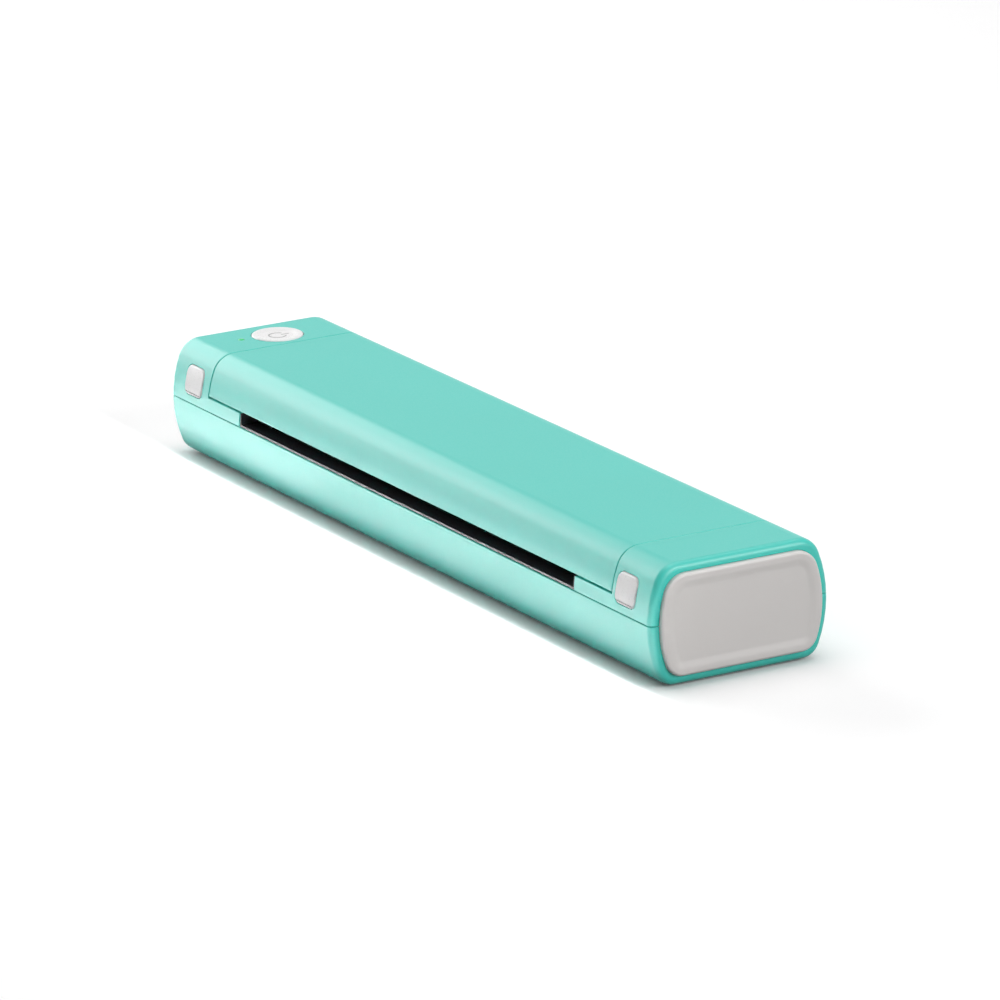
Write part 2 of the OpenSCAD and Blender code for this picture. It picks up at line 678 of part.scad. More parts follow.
module status_light() raise() color("#5ad88f") {
    post(light_x, light_y, key_board_z + board_t + 0.9, body_h + 0.05, light_d / 2);
    post(light_x, light_y, ceiling - 1.2, ceiling - 0.2, light_d / 2 + 0.7);
}
module key_board() raise() color("#1f6b45") {
    difference() {
        block(power_x - 11.4, power_x + 9.4, light_y - 2.4, power_y + 11.4, key_board_z,
            key_board_z + board_t);
        for (p = key_boss) post(p[0], p[1], key_board_z - 1, key_board_z + board_t + 1, 1.1);
    }
    // The light's diode
    block(light_x - 0.8, light_x + 0.8, light_y - 0.8, light_y + 0.8, key_board_z + board_t,
        key_board_z + board_t + 0.7);
}

module main_board() raise() color("#1f6b45") {
    difference() {
        union() {
            block(board_x0, board_x1, -19.6, 19.6, board_z, board_z + board_t);
            block(board_x0 + 9.2, board_x1, -24.6, 24.6, board_z, board_z + board_t);
            block(socket_x - 5.4, socket_x + 5.4, 24, 26.4, board_z, board_z + board_t);
        }
        for (x = post_x, y = [-1, 1]) post(x, y * post_y, board_z - 1, board_z + board_t + 1, 1.1);
    }
    // Processor, memory, power chip and connectors
    for (c = [[14, 0, 9, 9, 1], [24, -8, 6, 5, 1], [8, -10, 5, 6, 1.2], [27, 8, 4, 10, 4],
        [12, 13, 7, 4, 3]])
        translate([board_x0 + c[0] - c[2] / 2, c[1] - c[3] / 2, board_z + board_t])
            cube([c[2], c[3], c[4]]);
}
module charging_socket() raise() color(steel)
    translate([socket_x, side_y(board_z + 3) - 0.6, board_z + board_t + socket_h / 2])
        rotate([90, 0, 0]) difference() {
            linear_extrude(7.4) rounded_plate(socket_w, socket_h, 1.4);
            translate([0, 0, -1]) linear_extrude(6.6) difference() {
                rounded_plate(socket_w - 0.6, socket_h - 0.6, 1.1);
                translate([-3.3, -0.35]) square([6.6, 0.7]);
            }
        }
module battery_pack() raise() color("#3c5a8c")
    along_x(board_x0 + 2, board_x1 - 2)
        translate([0, wall + fit + battery_h / 2]) rounded_plate(battery_w, battery_h, 2);
module screw_up(x, y, z, r, l, head_r, head_h) {
    post(x, y, z - head_h, z, head_r);
    post(x, y, z - 0.1, z + l, r);
}
module board_screws() raise() color(steel) {
    for (x = post_x, y = [-1, 1]) {
        post(x, y * post_y, board_z + board_t, board_z + board_t + 1.2, 1.6);
        post(x, y * post_y, board_z - 4, board_z + board_t + 0.1, 0.79);
    }
    for (p = key_boss) screw_up(p[0], p[1], key_board_z, 0.79, board_t + 3.6, 1.6, 1);
}
module rubber_feet() raise() color("#3a3b3d") for (x = [-1, 1], y = [-1, 1])
    post(x * foot_x, y * foot_y, -foot_h, foot_seat, foot_d / 2);
module case_screws() raise() color(steel) for (x = [-1, 1], y = [-1, 1])
    difference() {
        screw_up(x * boss_x, y * boss_y, screw_seat, screw_r, screw_l, 1.9, 1.4);
        translate([x * boss_x, y * boss_y, screw_seat - 2])
            for (a = [0, 90]) rotate(a) translate([-1.2, -0.25, 0]) cube([2.4, 0.5, 1.4]);
    }

tray_in = wall + parting_gap + rail_t + 0.3;
trough_r = roll_r + trough_gap;
channel_w = head_w / 2 + 1.2;
channel_z = 8;
// What fits inside the lower case, and between the joint rails above
module inner_slab(x0, x1, top) {
    intersection() {
        slab(x0, x1, wall + fit);
        block(x0 - 1, x1 + 1, -body_w, body_w, 0, parting_z - rail_depth - 0.3);
    }
    intersection() {
        slab(x0, x1, tray_in);
        block(x0 - 1, x1 + 1, -body_w, body_w, belly_z - 10, top);
    }
}
module ribbon_tray() raise() color(black) difference() {
    union() {
        inner_slab(path_x - plate_u0 + fit, path_x + plate_u0 - fit, lip_z - 0.2);
        // Lips inside the slot, the front one with cheeks at its ends
        intersection() {
            slab(path_x - slot_u + 0.2, path_x + slot_u - 0.2, lip_in);
            block(-half_l, half_l, 24, body_w, parting_z + 0.2, lip_z);
        }
        intersection() {
            slab(path_x - slot_u - cheek_t, path_x + slot_u + cheek_t, lip_in);
            union() {
                block(-half_l, half_l, -body_w, -24, parting_z + 0.2, lip_z);
                for (s = [-1, 1]) let (u = s * slot_u, out = s * (slot_u + cheek_t))
                    block(path_x + min(u, out), path_x + max(u, out), -body_w, -24,
                        parting_z + 0.2, strip_z - fit);
            }
        }
    }
    for (y = [-1, 1]) {
        rod(-half_l, half_l, y * roll_y, roll_z, trough_r);
        block(-half_l, half_l, min(y * (roll_y - trough_r), y * (roll_y + trough_r)),
            max(y * (roll_y - trough_r), y * (roll_y + trough_r)), roll_z, body_h);
    }
    block(-half_l, half_l, -channel_w, channel_w, channel_z, body_h);
    block(-half_l, half_l, -roll_y + trough_r - 1, roll_y - trough_r + 1, channel_z + 1, body_h);
    // Hollow underneath, between cross ribs
    for (i = [0 : 5]) let (bay = (2 * plate_u0 - 8) / 6)
        block(path_x - plate_u0 + 4 + i * bay + 0.8, path_x - plate_u0 + 4 + (i + 1) * bay - 0.8,
            -channel_w + 0.4, channel_w - 0.4, 0, channel_z - 1.6);
    // Pocket for the paper sensor
    sensor(fit);
}
sensor_u = -slot_w * 0.28;
sensor_y = roll_y + trough_r + 0.5;
module sensor(room) {
    block(path_x + sensor_u - 2.5 - room, path_x + sensor_u + 2.5 + room, sensor_y - room,
        sensor_y + sensor_w + room, lip_z - 1.6, lip_z + 10 * room);
}
module paper_sensor() raise() color("#303236") sensor(0);

// A steel plate across the lower case, with open slots for the spools' journals
module side_plate(s) raise() color(steel)
    translate([path_x, 0, 0]) mirror([s < 0 ? 1 : 0, 0, 0]) difference() {
        inner_slab(plate_u0, plate_u1, parting_z - 0.4);
        for (y = [-1, 1]) {
            rod(plate_u0 - 1, plate_u1 + 1, y * roll_y, roll_z, spool_journal_r + running);
            block(plate_u0 - 1, plate_u1 + 1, y * roll_y - spool_journal_r - running,
                y * roll_y + spool_journal_r + running, roll_z, body_h);
        }
        block(plate_u0 - 1, plate_u1 + 1, -tongue_w - fit, tongue_w + fit,
            head_bottom - head_travel - 0.2, body_h);
        if (s > 0) for (y = [0, reduction_y])
            rod(plate_u0 - 1, plate_u1 + 1, y, idler_z, axle_r + 0.01);
    }
tongue_w = 3;
module side_plate_left() { side_plate(-1); }
module side_plate_right() { side_plate(1); }

module print_head() raise() color("#d9d4c8") {
    block(path_x - platen_l / 2, path_x + platen_l / 2, -head_w / 2, head_w / 2, heatsink_z, ceramic_z);
    block(path_x - ribbon_w / 2, path_x + ribbon_w / 2, -0.7, 0.7, ceramic_z - 0.01, head_top);
}
module head_heatsink() raise() color(steel) {
    difference() {
        block(path_x - plate_u0 + 0.4, path_x + plate_u0 - 0.4, -head_w / 2, head_w / 2,
            head_bottom, heatsink_z);
        for (y = [-3, 0, 3]) block(path_x - plate_u0, path_x + plate_u0, y - 0.6, y + 0.6,
            head_bottom - 1, head_bottom + heatsink_h - 1.6);
    }
    block(path_x - plate_u1 - 0.3, path_x + plate_u1 + 0.3, -tongue_w, tongue_w,
        heatsink_z - 1.5, heatsink_z - 0.2);
}
module head_springs() raise() color(steel) for (i = [0 : head_spring_count - 1])
    translate([path_x + (i - (head_spring_count - 1) / 2) * paper_w * 0.24, 0, channel_z + 0.1])
        coil(head_spring_r, 0.35, head_bottom - channel_z - 0.2, 5);

// The film runs from the supply roll over the head and down to the take-up roll
film_r = roll_r + 0.35;
film_edge = head_w / 2 + 0.3;
film_z = (head_top + nip_z + nip_gap / 2) / 2 - film_t / 2;
film_d = sqrt(pow(roll_y - film_edge, 2) + pow(film_z - roll_z, 2));
film_a = atan2(film_z - roll_z, film_edge - roll_y) + acos(film_r / film_d);
film_end = [roll_y + film_r * cos(film_a), roll_z + film_r * sin(film_a)];
film_half = [[film_edge, film_z], film_end, film_end + [film_t, 0],
    [film_edge + film_t / 2, film_z + film_t]];
module ribbon_film() raise() color("#15161a") along_x(path_x - ribbon_w / 2, path_x + ribbon_w / 2)
    polygon(concat(film_half, [for (i = [3 : -1 : 0]) [-film_half[i][0], film_half[i][1]]]));

module core(y) {
    rod(path_x - plate_u0 + 0.5, path_x + plate_u0 - 0.5, y, roll_z, core_r);
}
module supply_core() raise() color("#e8e4da") {
    core(roll_y);
    rod(path_x - plate_u1 - 1.2, path_x + plate_u1 + 1.2, roll_y, roll_z, spool_journal_r);
}
module takeup_core() raise() color("#e8e4da") {
    core(-roll_y);
    rod(path_x - plate_u1 - 1.2, path_x + wheel_u1 + 0.4, -roll_y, roll_z, spool_journal_r);
}
module roll(y) {
    difference() {
        rod(path_x - ribbon_w / 2, path_x + ribbon_w / 2, y, roll_z, roll_r);
        rod(-half_l, half_l, y, roll_z, core_r);
    }
}
module supply_roll() raise() color("#15161a") roll(roll_y);
module takeup_roll() raise() color("#15161a") roll(-roll_y);

// Involute gear, flat in Y and Z, with a tooth at the angle phase
pressure = 20;
function inv(a) = tan(a) * 180 / PI - a;
function flank(teeth, r) = let (rp = gear_m * teeth / 2, rb = rp * cos(pressure))
    90 / teeth - backlash / 4 / rp * 180 / PI + inv(pressure) - (r > rb ? inv(acos(rb / r)) : 0);
function gear_points(teeth, phase) = let (rp = gear_m * teeth / 2, rb = rp * cos(pressure),
        root = rp - 1.25 * gear_m, tip = rp + gear_m, start = max(rb, root),
        radii = [root, start, start + (tip - start) * 0.3, start + (tip - start) * 0.65, tip])
    [for (t = [0 : teeth - 1], side = [-1, 1], k = [0 : 4])
        let (r = radii[side < 0 ? k : 4 - k],
            a = phase + 360 * t / teeth + side * flank(teeth, r))
        [r * cos(a), r * sin(a)]];
module gear(teeth, phase, y, z, u0, u1, bore) {
    difference() {
        along_x(path_x + u0, path_x + u1) translate([y, z]) polygon(gear_points(teeth, phase));
        rod(path_x + u0 - 1, path_x + u1 + 1, y, z, bore);
    }
}
// Phase of a wheel that meshes with another, in the direction dir from that other
function mesh(phase, teeth, next, dir) =
    dir + 180 + (0.5 - (phase - dir) * teeth / 360) * 360 / next;
idler_phase = mesh(-90, platen_teeth, idler_teeth, -90);
takeup_phase = mesh(idler_phase, idler_teeth, takeup_teeth, atan2(roll_z - idler_z, -roll_y));
small_phase = mesh(idler_phase, idler_teeth, small_teeth, 0);
pinion_phase = mesh(0, large_teeth, pinion_teeth, 180 - motor_angle);

module platen_gear() raise() color("#efe9d8")
    gear(platen_teeth, -90, 0, platen_z, wheel_u0, wheel_u1, journal_r + 0.01);
module takeup_gear() raise() color("#efe9d8")
    gear(takeup_teeth, takeup_phase, -roll_y, roll_z, wheel_u0, wheel_u1, spool_journal_r + 0.01);
module idler_gear() raise() color("#efe9d8")
    gear(idler_teeth, idler_phase, 0, idler_z, wheel_u0, wheel_u1, axle_r + running);
module reduction_gear() raise() color("#efe9d8") difference() {
    union() {
        gear(small_teeth, small_phase, reduction_y, idler_z, wheel_u0, wheel2_u0 + 0.1, axle_r);
        gear(large_teeth, 0, reduction_y, idler_z, wheel2_u0, wheel2_u1, axle_r);
    }
    rod(path_x + wheel_u0 - 1, path_x + wheel2_u1 + 1, reduction_y, idler_z, axle_r + running);
}
module motor_pinion() raise() color(steel) {
    gear(pinion_teeth, pinion_phase, motor_y, motor_z, wheel2_u0, wheel2_u1, 0.9);
    rod(path_x + wheel2_u0 - 0.4, path_x + motor_u0 + 5, motor_y, motor_z, 1);
}
module gear_axles() raise() color(steel) {
    rod(path_x + plate_u0 - 0.2, path_x + wheel_u1 + 0.9, 0, idler_z, axle_r);
    rod(path_x + plate_u0 - 0.2, path_x + bracket_u0 + bracket_t, reduction_y, idler_z, axle_r);
}
module axle_clips() raise() color(steel) difference() {
    rod(path_x + wheel_u1 + 0.3, path_x + wheel_u1 + 0.8, 0, idler_z, 2.8);
    rod(path_x + wheel_u1, path_x + wheel_u1 + 1, 0, idler_z, axle_r);
    translate([path_x + wheel_u1, -1, idler_z]) cube([1, 2, 4]);
}

module platen_frame() raise() color(steel) difference() {
    union() {
        along_x(path_x - bearing_u1, path_x + bearing_u1) polygon([
            [-flange_w, flange_z], [-frame_w / 2 - frame_t, flange_z], [-frame_w / 2 - frame_t + 1, flange_z],
            [-frame_w / 2, frame_roof - frame_t], [frame_w / 2, frame_roof - frame_t],
            [frame_w / 2 + frame_t - 1, flange_z], [flange_w, flange_z], [flange_w, flange_z + frame_t],
            [frame_w / 2 + frame_t, flange_z + frame_t], [frame_w / 2 + frame_t, frame_roof],
            [-frame_w / 2 - frame_t, frame_roof], [-frame_w / 2 - frame_t, flange_z + frame_t],
            [-flange_w, flange_z + frame_t]]);
        // End plates with the platen's bearings
        for (s = [-1, 1]) {
            rod(path_x + (s > 0 ? bearing_u0 : -bearing_u1), path_x + (s > 0 ? bearing_u1 : -bearing_u0),
                0, platen_z, bush_r + 2);
            block(path_x + (s > 0 ? bearing_u0 : -bearing_u1), path_x + (s > 0 ? bearing_u1 : -bearing_u0),
                -bush_r - 2, bush_r + 2, platen_z, frame_roof - frame_t / 2);
        }
    }
    rod(-half_l, half_l, 0, platen_z, bush_r + 0.01);
    for (u = frame_screw_u, y = [-1, 1])
        post(path_x + u, y * frame_screw_y, flange_z - 1, flange_z + frame_t + 1, 1.15);
}
module frame_screws() raise() color(steel) for (u = frame_screw_u, y = [-1, 1])
    screw_up(path_x + u, y * frame_screw_y, flange_z, 1, frame_t + 3, 1.7, 1);
module platen_shaft() raise() color(steel) {
    rod(path_x - bearing_u0 + 1.6, path_x + bearing_u0 - 1.6, 0, platen_z, platen_core_d / 2);
    rod(path_x - bearing_u1 - 1.4, path_x + wheel_u1 + 0.4, 0, platen_z, journal_r);
}
module platen_roller() raise() color("#2e2f31") difference() {
    rod(path_x - platen_l / 2, path_x + platen_l / 2, 0, platen_z, platen_d / 2);
    rod(-half_l, half_l, 0, platen_z, platen_core_d / 2);
}
module platen_bushes() raise() color("#d8c9a0") for (s = [-1, 1]) difference() {
    union() {
        rod(path_x + (s > 0 ? bearing_u0 - 0.6 : -bearing_u1 - 0.5),
            path_x + (s > 0 ? bearing_u1 + 0.5 : -bearing_u0 + 0.6), 0, platen_z, bush_r);
        rod(path_x + (s > 0 ? bearing_u0 - 0.9 : -bearing_u0),
            path_x + (s > 0 ? bearing_u0 : -bearing_u0 + 0.9), 0, platen_z, bush_r + 1);
    }
    rod(-half_l, half_l, 0, platen_z, journal_r + running);
}

module motor_bracket() raise() color(steel) difference() {
    union() {
        block(path_x + bracket_u0, path_x + motor_u0, motor_y - motor_d / 2 - 2.4, reduction_y + 5,
            wall + fit, idler_z + 6);
        block(path_x + bracket_u0 + 0.5, path_x + motor_u0 + 8, motor_y - motor_d / 2 - 2.4,
            reduction_y + 5, wall + fit, wall + fit + bracket_t);
        rod(path_x + bracket_u0, path_x + motor_u0, motor_y, motor_z, motor_d / 2 + 0.4);
    }
    rod(path_x + bracket_u0 - 1, path_x + motor_u0 + 1, motor_y, motor_z, 3.2);
    rod(path_x + bracket_u0 - 1, path_x + motor_u0 + 1, reduction_y, idler_z, axle_r + 0.01);
    for (y = [-1, 1]) rod(path_x + bracket_u0 - 1, path_x + motor_u0 + 1, motor_y + y * 6.4, motor_z, 1.1);
}
module stepper_motor() raise() color("#8d9095") difference() {
    union() {
        rod(path_x + motor_u0, path_x + motor_u0 + motor_l, motor_y, motor_z, motor_d / 2);
        rod(path_x + bracket_u0 - 0.6, path_x + motor_u0 + 0.1, motor_y, motor_z, 3.1);
    }
    rod(path_x + bracket_u0 - 1, path_x + motor_u0 + 6, motor_y, motor_z, 1 + running);
    for (y = [-1, 1])
        rod(path_x + motor_u0 - 1, path_x + motor_u0 + 3, motor_y + y * 6.4, motor_z, 1.01);
}
module motor_screws() raise() color(steel) for (y = [-1, 1]) {
    rod(path_x + bracket_u0 - 1, path_x + bracket_u0, motor_y + y * 6.4, motor_z, 1.8);
    rod(path_x + bracket_u0 - 0.1, path_x + motor_u0 + 2.6, motor_y + y * 6.4, motor_z, 1);
}

lower_case();
upper_case();
cover();
end_cap_left();
end_cap_right();
push_button_left();
push_button_right();
latch_hook_left();
latch_hook_right();
latch_spring_left();
latch_spring_right();
power_button();
switch_plunger();
power_switch();
status_light();
key_board();
main_board();
charging_socket();
battery_pack();
board_screws();
rubber_feet();
case_screws();
hinge_pins();
ribbon_tray();
side_plate_left();
side_plate_right();
paper_sensor();
print_head();
head_heatsink();
head_springs();
ribbon_film();
supply_core();
supply_roll();
takeup_core();
takeup_roll();
takeup_gear();
platen_frame();
frame_screws();
platen_shaft();
platen_roller();
platen_bushes();
platen_gear();
idler_gear();
reduction_gear();
gear_axles();
axle_clips();
motor_bracket();
stepper_motor();
motor_pinion();
motor_screws();
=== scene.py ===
import json
import math

import bpy
from mathutils import Matrix, Vector


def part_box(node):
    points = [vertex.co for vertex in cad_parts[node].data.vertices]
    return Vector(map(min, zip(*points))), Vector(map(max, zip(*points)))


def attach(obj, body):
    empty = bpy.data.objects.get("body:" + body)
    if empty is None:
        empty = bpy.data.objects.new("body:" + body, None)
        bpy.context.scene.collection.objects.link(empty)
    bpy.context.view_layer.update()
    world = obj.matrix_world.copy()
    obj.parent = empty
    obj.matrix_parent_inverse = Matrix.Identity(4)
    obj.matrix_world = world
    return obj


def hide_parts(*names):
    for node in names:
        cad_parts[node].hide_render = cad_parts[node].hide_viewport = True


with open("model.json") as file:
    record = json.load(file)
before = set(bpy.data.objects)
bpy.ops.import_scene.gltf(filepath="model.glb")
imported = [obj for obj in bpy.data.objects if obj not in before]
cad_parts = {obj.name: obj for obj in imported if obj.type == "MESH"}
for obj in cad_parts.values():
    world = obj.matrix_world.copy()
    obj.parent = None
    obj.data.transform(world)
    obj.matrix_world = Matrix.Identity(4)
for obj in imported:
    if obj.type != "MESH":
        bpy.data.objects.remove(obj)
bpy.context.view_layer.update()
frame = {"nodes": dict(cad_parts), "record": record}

# Portable A4 printer: a turquoise bar with a hinged cover, light grey end caps,
# two white release buttons and a round power button. All sizes are in millimetres.
mm = 0.001
nodes = frame["nodes"]

# The case as the CAD has it, and how its skin is finished here
caseSection = {
    "length": 312,
    "width": 64.3,
    "height": 39,
    "footHeight": 0.7,
    "bellyHeight": 19.2,
    "bellyRadius": 39.4,
    "topRadius": 8.3,
    "bottomRadius": 6.4,
    "endRadius": 2.3,
    "seamRadius": 0.25,  # along the seams and the slots
    "skinTolerance": 0.08,  # how far a point may lie off the true skin
    "skinAgreement": 0.93,  # cosine of how far a face of the skin may lean from it
    "holeRoom": 1.5,  # the seam radius stays this far from the buttons and the light
}
cs = caseSection
mostly = 0.9  # a direction whose share along an axis is above this counts as along it
halfLength = cs["length"] / 2
bellyY = cs["width"] / 2 - cs["bellyRadius"]
topZ = cs["height"] - cs["topRadius"]
topY = bellyY + math.sqrt((cs["bellyRadius"] - cs["topRadius"]) ** 2 - (topZ - cs["bellyHeight"]) ** 2)
bottomZ = cs["bottomRadius"]
bottomY = bellyY + math.sqrt((cs["bellyRadius"] - bottomZ) ** 2 - (cs["bellyHeight"] - bottomZ) ** 2)
topAngle = math.atan2(topZ - cs["bellyHeight"], topY - bellyY)
bottomAngle = math.atan2(cs["bellyHeight"] - bottomZ, bottomY - bellyY)


def selectOnly(piece):
    if bpy.context.object and bpy.context.object.mode != "OBJECT":
        bpy.ops.object.mode_set(mode="OBJECT")
    bpy.ops.object.select_all(action="DESELECT")
    piece.select_set(True)
    bpy.context.view_layer.objects.active = piece


def applyAll(piece):
    selectOnly(piece)
    for modifier in list(piece.modifiers):
        bpy.ops.object.modifier_apply(modifier=modifier.name)


def settle(piece, body, finish, angle=30):
    # Places the finished piece at the origin, smooths it and hangs it on its body
    selectOnly(piece)
    bpy.ops.object.transform_apply(location=True, rotation=True, scale=True)
    if angle:
        bpy.ops.object.shade_smooth_by_angle(angle=math.radians(angle))
    piece.data.materials.clear()
    piece.data.materials.append(finish)
    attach(piece, body)


def boxOf(node):
    # A CAD node's lowest and highest corners, in millimetres
    low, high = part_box(node)
    return Vector(low) / mm, Vector(high) / mm


def linear(hexColour):
    # sRGB hex to the linear values that a shader takes
    values = []
    for i in (1, 3, 5):
        c = int(hexColour[i:i + 2], 16) / 255
        values.append(c / 12.92 if c <= 0.04045 else ((c + 0.055) / 1.055) ** 2.4)
    return (*values, 1)


def addNode(tree, kind, links=None, **settings):
    # Adds a node with its own settings. A socket is linked to a socket or set to a value.
    node = tree.nodes.new(kind)
    for name, value in settings.items():
        setattr(node, name, value)
    for socket, value in (links or {}).items():
        if isinstance(value, bpy.types.NodeSocket):
            tree.links.new(value, node.inputs[socket])
        else:
            node.inputs[socket].default_value = value
    return node


def newFinish(name):
    finish = bpy.data.materials.new(name)
    finish.use_nodes = True
    tree = finish.node_tree
    shader = tree.nodes["Principled BSDF"]
    coords = addNode(tree, "ShaderNodeTexCoord").outputs["Object"]
    return finish, tree, shader, coords


print("stage: frame and helpers ready")


def mouldedPlastic(name, colour, shade, roughness, grain, depth, ior=1.5, edge=0.25, gloss=0.5):
    # ABS from a spark-eroded mould: an even satin skin with a fine grain, and edges that
    # catch a thin line of light. The grain is drawn coarser than the real 0.1 mm.
    finish, tree, shader, coords = newFinish(name)
    cloud = addNode(tree, "ShaderNodeTexNoise", {"Vector": coords, "Scale": 1 / (45 * mm), "Detail": 2})
    tint = addNode(tree, "ShaderNodeMix", {"Factor": cloud.outputs["Fac"], "A": linear(colour),
                   "B": linear(shade)}, data_type="RGBA")
    tree.links.new(tint.outputs["Result"], shader.inputs["Base Color"])
    fine = addNode(tree, "ShaderNodeTexNoise", {"Vector": coords, "Scale": 1 / (grain * mm), "Detail": 2,
                   "Roughness": 0.6})
    wander = 0.04  # how far the roughness drifts either way
    skin = addNode(tree, "ShaderNodeMapRange", {"Value": fine.outputs["Fac"], "From Min": 0.3,
                   "From Max": 0.7, "To Min": roughness - wander, "To Max": roughness + wander})
    tree.links.new(skin.outputs["Result"], shader.inputs["Roughness"])
    rounded = addNode(tree, "ShaderNodeBevel", {"Radius": edge * mm}, samples=6)
    bump = addNode(tree, "ShaderNodeBump", {"Height": fine.outputs["Fac"],
                   "Normal": rounded.outputs["Normal"], "Strength": 0.25, "Distance": depth * mm})
    tree.links.new(bump.outputs["Normal"], shader.inputs["Normal"])
    shader.inputs["IOR"].default_value = ior
    shader.inputs["Specular IOR Level"].default_value = gloss
    return finish


def drawnMetal(name, colour, shade, roughness, along=(1, 60, 60), lineLength=24, edge=0.15):
    # Sheet, bar or wire with the drawing lines of the mill along one direction. A line is
    # 24 mm long and 0.4 mm wide, as along squeezes it across.
    finish, tree, shader, coords = newFinish(name)
    stretch = addNode(tree, "ShaderNodeMapping", {"Vector": coords, "Scale": along})
    lines = addNode(tree, "ShaderNodeTexNoise", {"Vector": stretch.outputs["Vector"],
                    "Scale": 1 / (lineLength * mm), "Detail": 3})
    tint = addNode(tree, "ShaderNodeMix", {"Factor": lines.outputs["Fac"], "A": linear(colour),
                   "B": linear(shade)}, data_type="RGBA")
    tree.links.new(tint.outputs["Result"], shader.inputs["Base Color"])
    wander = 0.07  # how far the roughness drifts either way
    skin = addNode(tree, "ShaderNodeMapRange", {"Value": lines.outputs["Fac"], "From Min": 0.3,
                   "From Max": 0.7, "To Min": roughness - wander, "To Max": roughness + wander})
    tree.links.new(skin.outputs["Result"], shader.inputs["Roughness"])
    rounded = addNode(tree, "ShaderNodeBevel", {"Radius": edge * mm}, samples=4)
    bump = addNode(tree, "ShaderNodeBump", {"Height": lines.outputs["Fac"],
                   "Normal": rounded.outputs["Normal"], "Strength": 0.15, "Distance": 0.02 * mm})
    tree.links.new(bump.outputs["Normal"], shader.inputs["Normal"])
    shader.inputs["Metallic"].default_value = 1
    return finish


def siliconeRubber(name, colour, shade, roughness, grit):
    # Ground or moulded rubber: matt, with a fine even grit
    finish, tree, shader, coords = newFinish(name)
    grits = addNode(tree, "ShaderNodeTexNoise", {"Vector": coords, "Scale": 1 / (grit * mm), "Detail": 4})
    tint = addNode(tree, "ShaderNodeMix", {"Factor": grits.outputs["Fac"], "A": linear(colour),
                   "B": linear(shade)}, data_type="RGBA")
    tree.links.new(tint.outputs["Result"], shader.inputs["Base Color"])
    bump = addNode(tree, "ShaderNodeBump", {"Height": grits.outputs["Fac"], "Strength": 0.4,
                   "Distance": 0.05 * mm})
    tree.links.new(bump.outputs["Normal"], shader.inputs["Normal"])
    shader.inputs["Roughness"].default_value = roughness
    return finish


def woundFilm(name, colour, shade):
    # Wax ribbon on a roll: glossy black film, its turns seen as fine lines round the roll
    finish, tree, shader, coords = newFinish(name)
    turns = addNode(tree, "ShaderNodeTexWave", {"Vector": coords, "Scale": 1 / (9 * mm), "Distortion": 1.5,
                    "Detail": 2, "Detail Scale": 2}, wave_type="BANDS", bands_direction="X")
    tint = addNode(tree, "ShaderNodeMix", {"Factor": turns.outputs["Fac"], "A": linear(colour),
                   "B": linear(shade)}, data_type="RGBA")
    tree.links.new(tint.outputs["Result"], shader.inputs["Base Color"])
    bump = addNode(tree, "ShaderNodeBump", {"Height": turns.outputs["Fac"], "Strength": 0.2,
                   "Distance": 0.05 * mm})
    tree.links.new(bump.outputs["Normal"], shader.inputs["Normal"])
    shader.inputs["Roughness"].default_value = 0.22
    return finish


def solderMask(name, colour, shade):
    # Circuit board under green solder mask, with its tracks showing through as paler lines
    finish, tree, shader, coords = newFinish(name)
    tracks = addNode(tree, "ShaderNodeTexBrick", {"Vector": coords, "Color1": linear(colour),
                     "Color2": linear(colour), "Mortar": linear(shade), "Scale": 1 / (5 * mm),
                     "Mortar Size": 0.035, "Brick Width": 0.9, "Row Height": 0.3})
    tree.links.new(tracks.outputs["Color"], shader.inputs["Base Color"])
    bump = addNode(tree, "ShaderNodeBump", {"Height": tracks.outputs["Fac"], "Strength": 0.2,
                   "Distance": 0.03 * mm})
    tree.links.new(bump.outputs["Normal"], shader.inputs["Normal"])
    shader.inputs["Roughness"].default_value = 0.3
    return finish


def lightPipe(name, colour, glow):
    # Green acrylic with a diode behind it: the cloudy diffuser glows a little and unevenly
    finish, tree, shader, coords = newFinish(name)
    cloud = addNode(tree, "ShaderNodeTexNoise", {"Vector": coords, "Scale": 1 / (0.8 * mm), "Detail": 2})
    tint = addNode(tree, "ShaderNodeMix", {"Factor": cloud.outputs["Fac"], "A": linear(glow),
                   "B": linear(colour)}, data_type="RGBA")
    tree.links.new(tint.outputs["Result"], shader.inputs["Base Color"])
    shader.inputs["Emission Color"].default_value = linear(glow)
    shader.inputs["Emission Strength"].default_value = 0.3
    shader.inputs["Roughness"].default_value = 0.15
    return finish


# Name, colour, shade and roughness. A plastic has its grain's width and depth after them,
# and a rubber the width of its grit.
# Case: satin turquoise, with a soft highlight along its curves
caseAbs = mouldedPlastic("turquoise moulded ABS", "#2ac0b3", "#26bbae", 0.38, 0.35, 0.03, gloss=0.85)
# End caps: warm pale grey, a little more matt than the case
capAbs = mouldedPlastic("light grey moulded ABS", "#d4d1cf", "#cfccca", 0.42, 0.35, 0.03)
# Buttons: white, with a clearer highlight than the case
buttonAbs = mouldedPlastic("white polished ABS", "#e8e7e7", "#e3e2e2", 0.3, 0.5, 0.01)
# Inner mouldings: matt black, so that the slot stays dark
blackAbs = mouldedPlastic("black moulded ABS", "#141516", "#191a1c", 0.55, 0.35, 0.04, gloss=0.2)
# Gears: cream, slightly waxy
acetal = mouldedPlastic("natural acetal", "#e9e3d2", "#e2dcc8", 0.35, 0.6, 0.02, edge=0.1)
# Ribbon cores: plain ivory
polystyrene = mouldedPlastic("natural polystyrene", "#dcd8cc", "#d2cec0", 0.35, 0.6, 0.02)
# Heater strip: pale and glassy
alumina = mouldedPlastic("glazed alumina", "#d8d0bf", "#cfc6b3", 0.12, 0.8, 0.01, ior=1.7, edge=0.1)
# Battery: glossy blue film with soft waves
batteryWrap = mouldedPlastic("blue shrink wrap", "#34568c", "#2f4f82", 0.2, 6, 0.1)
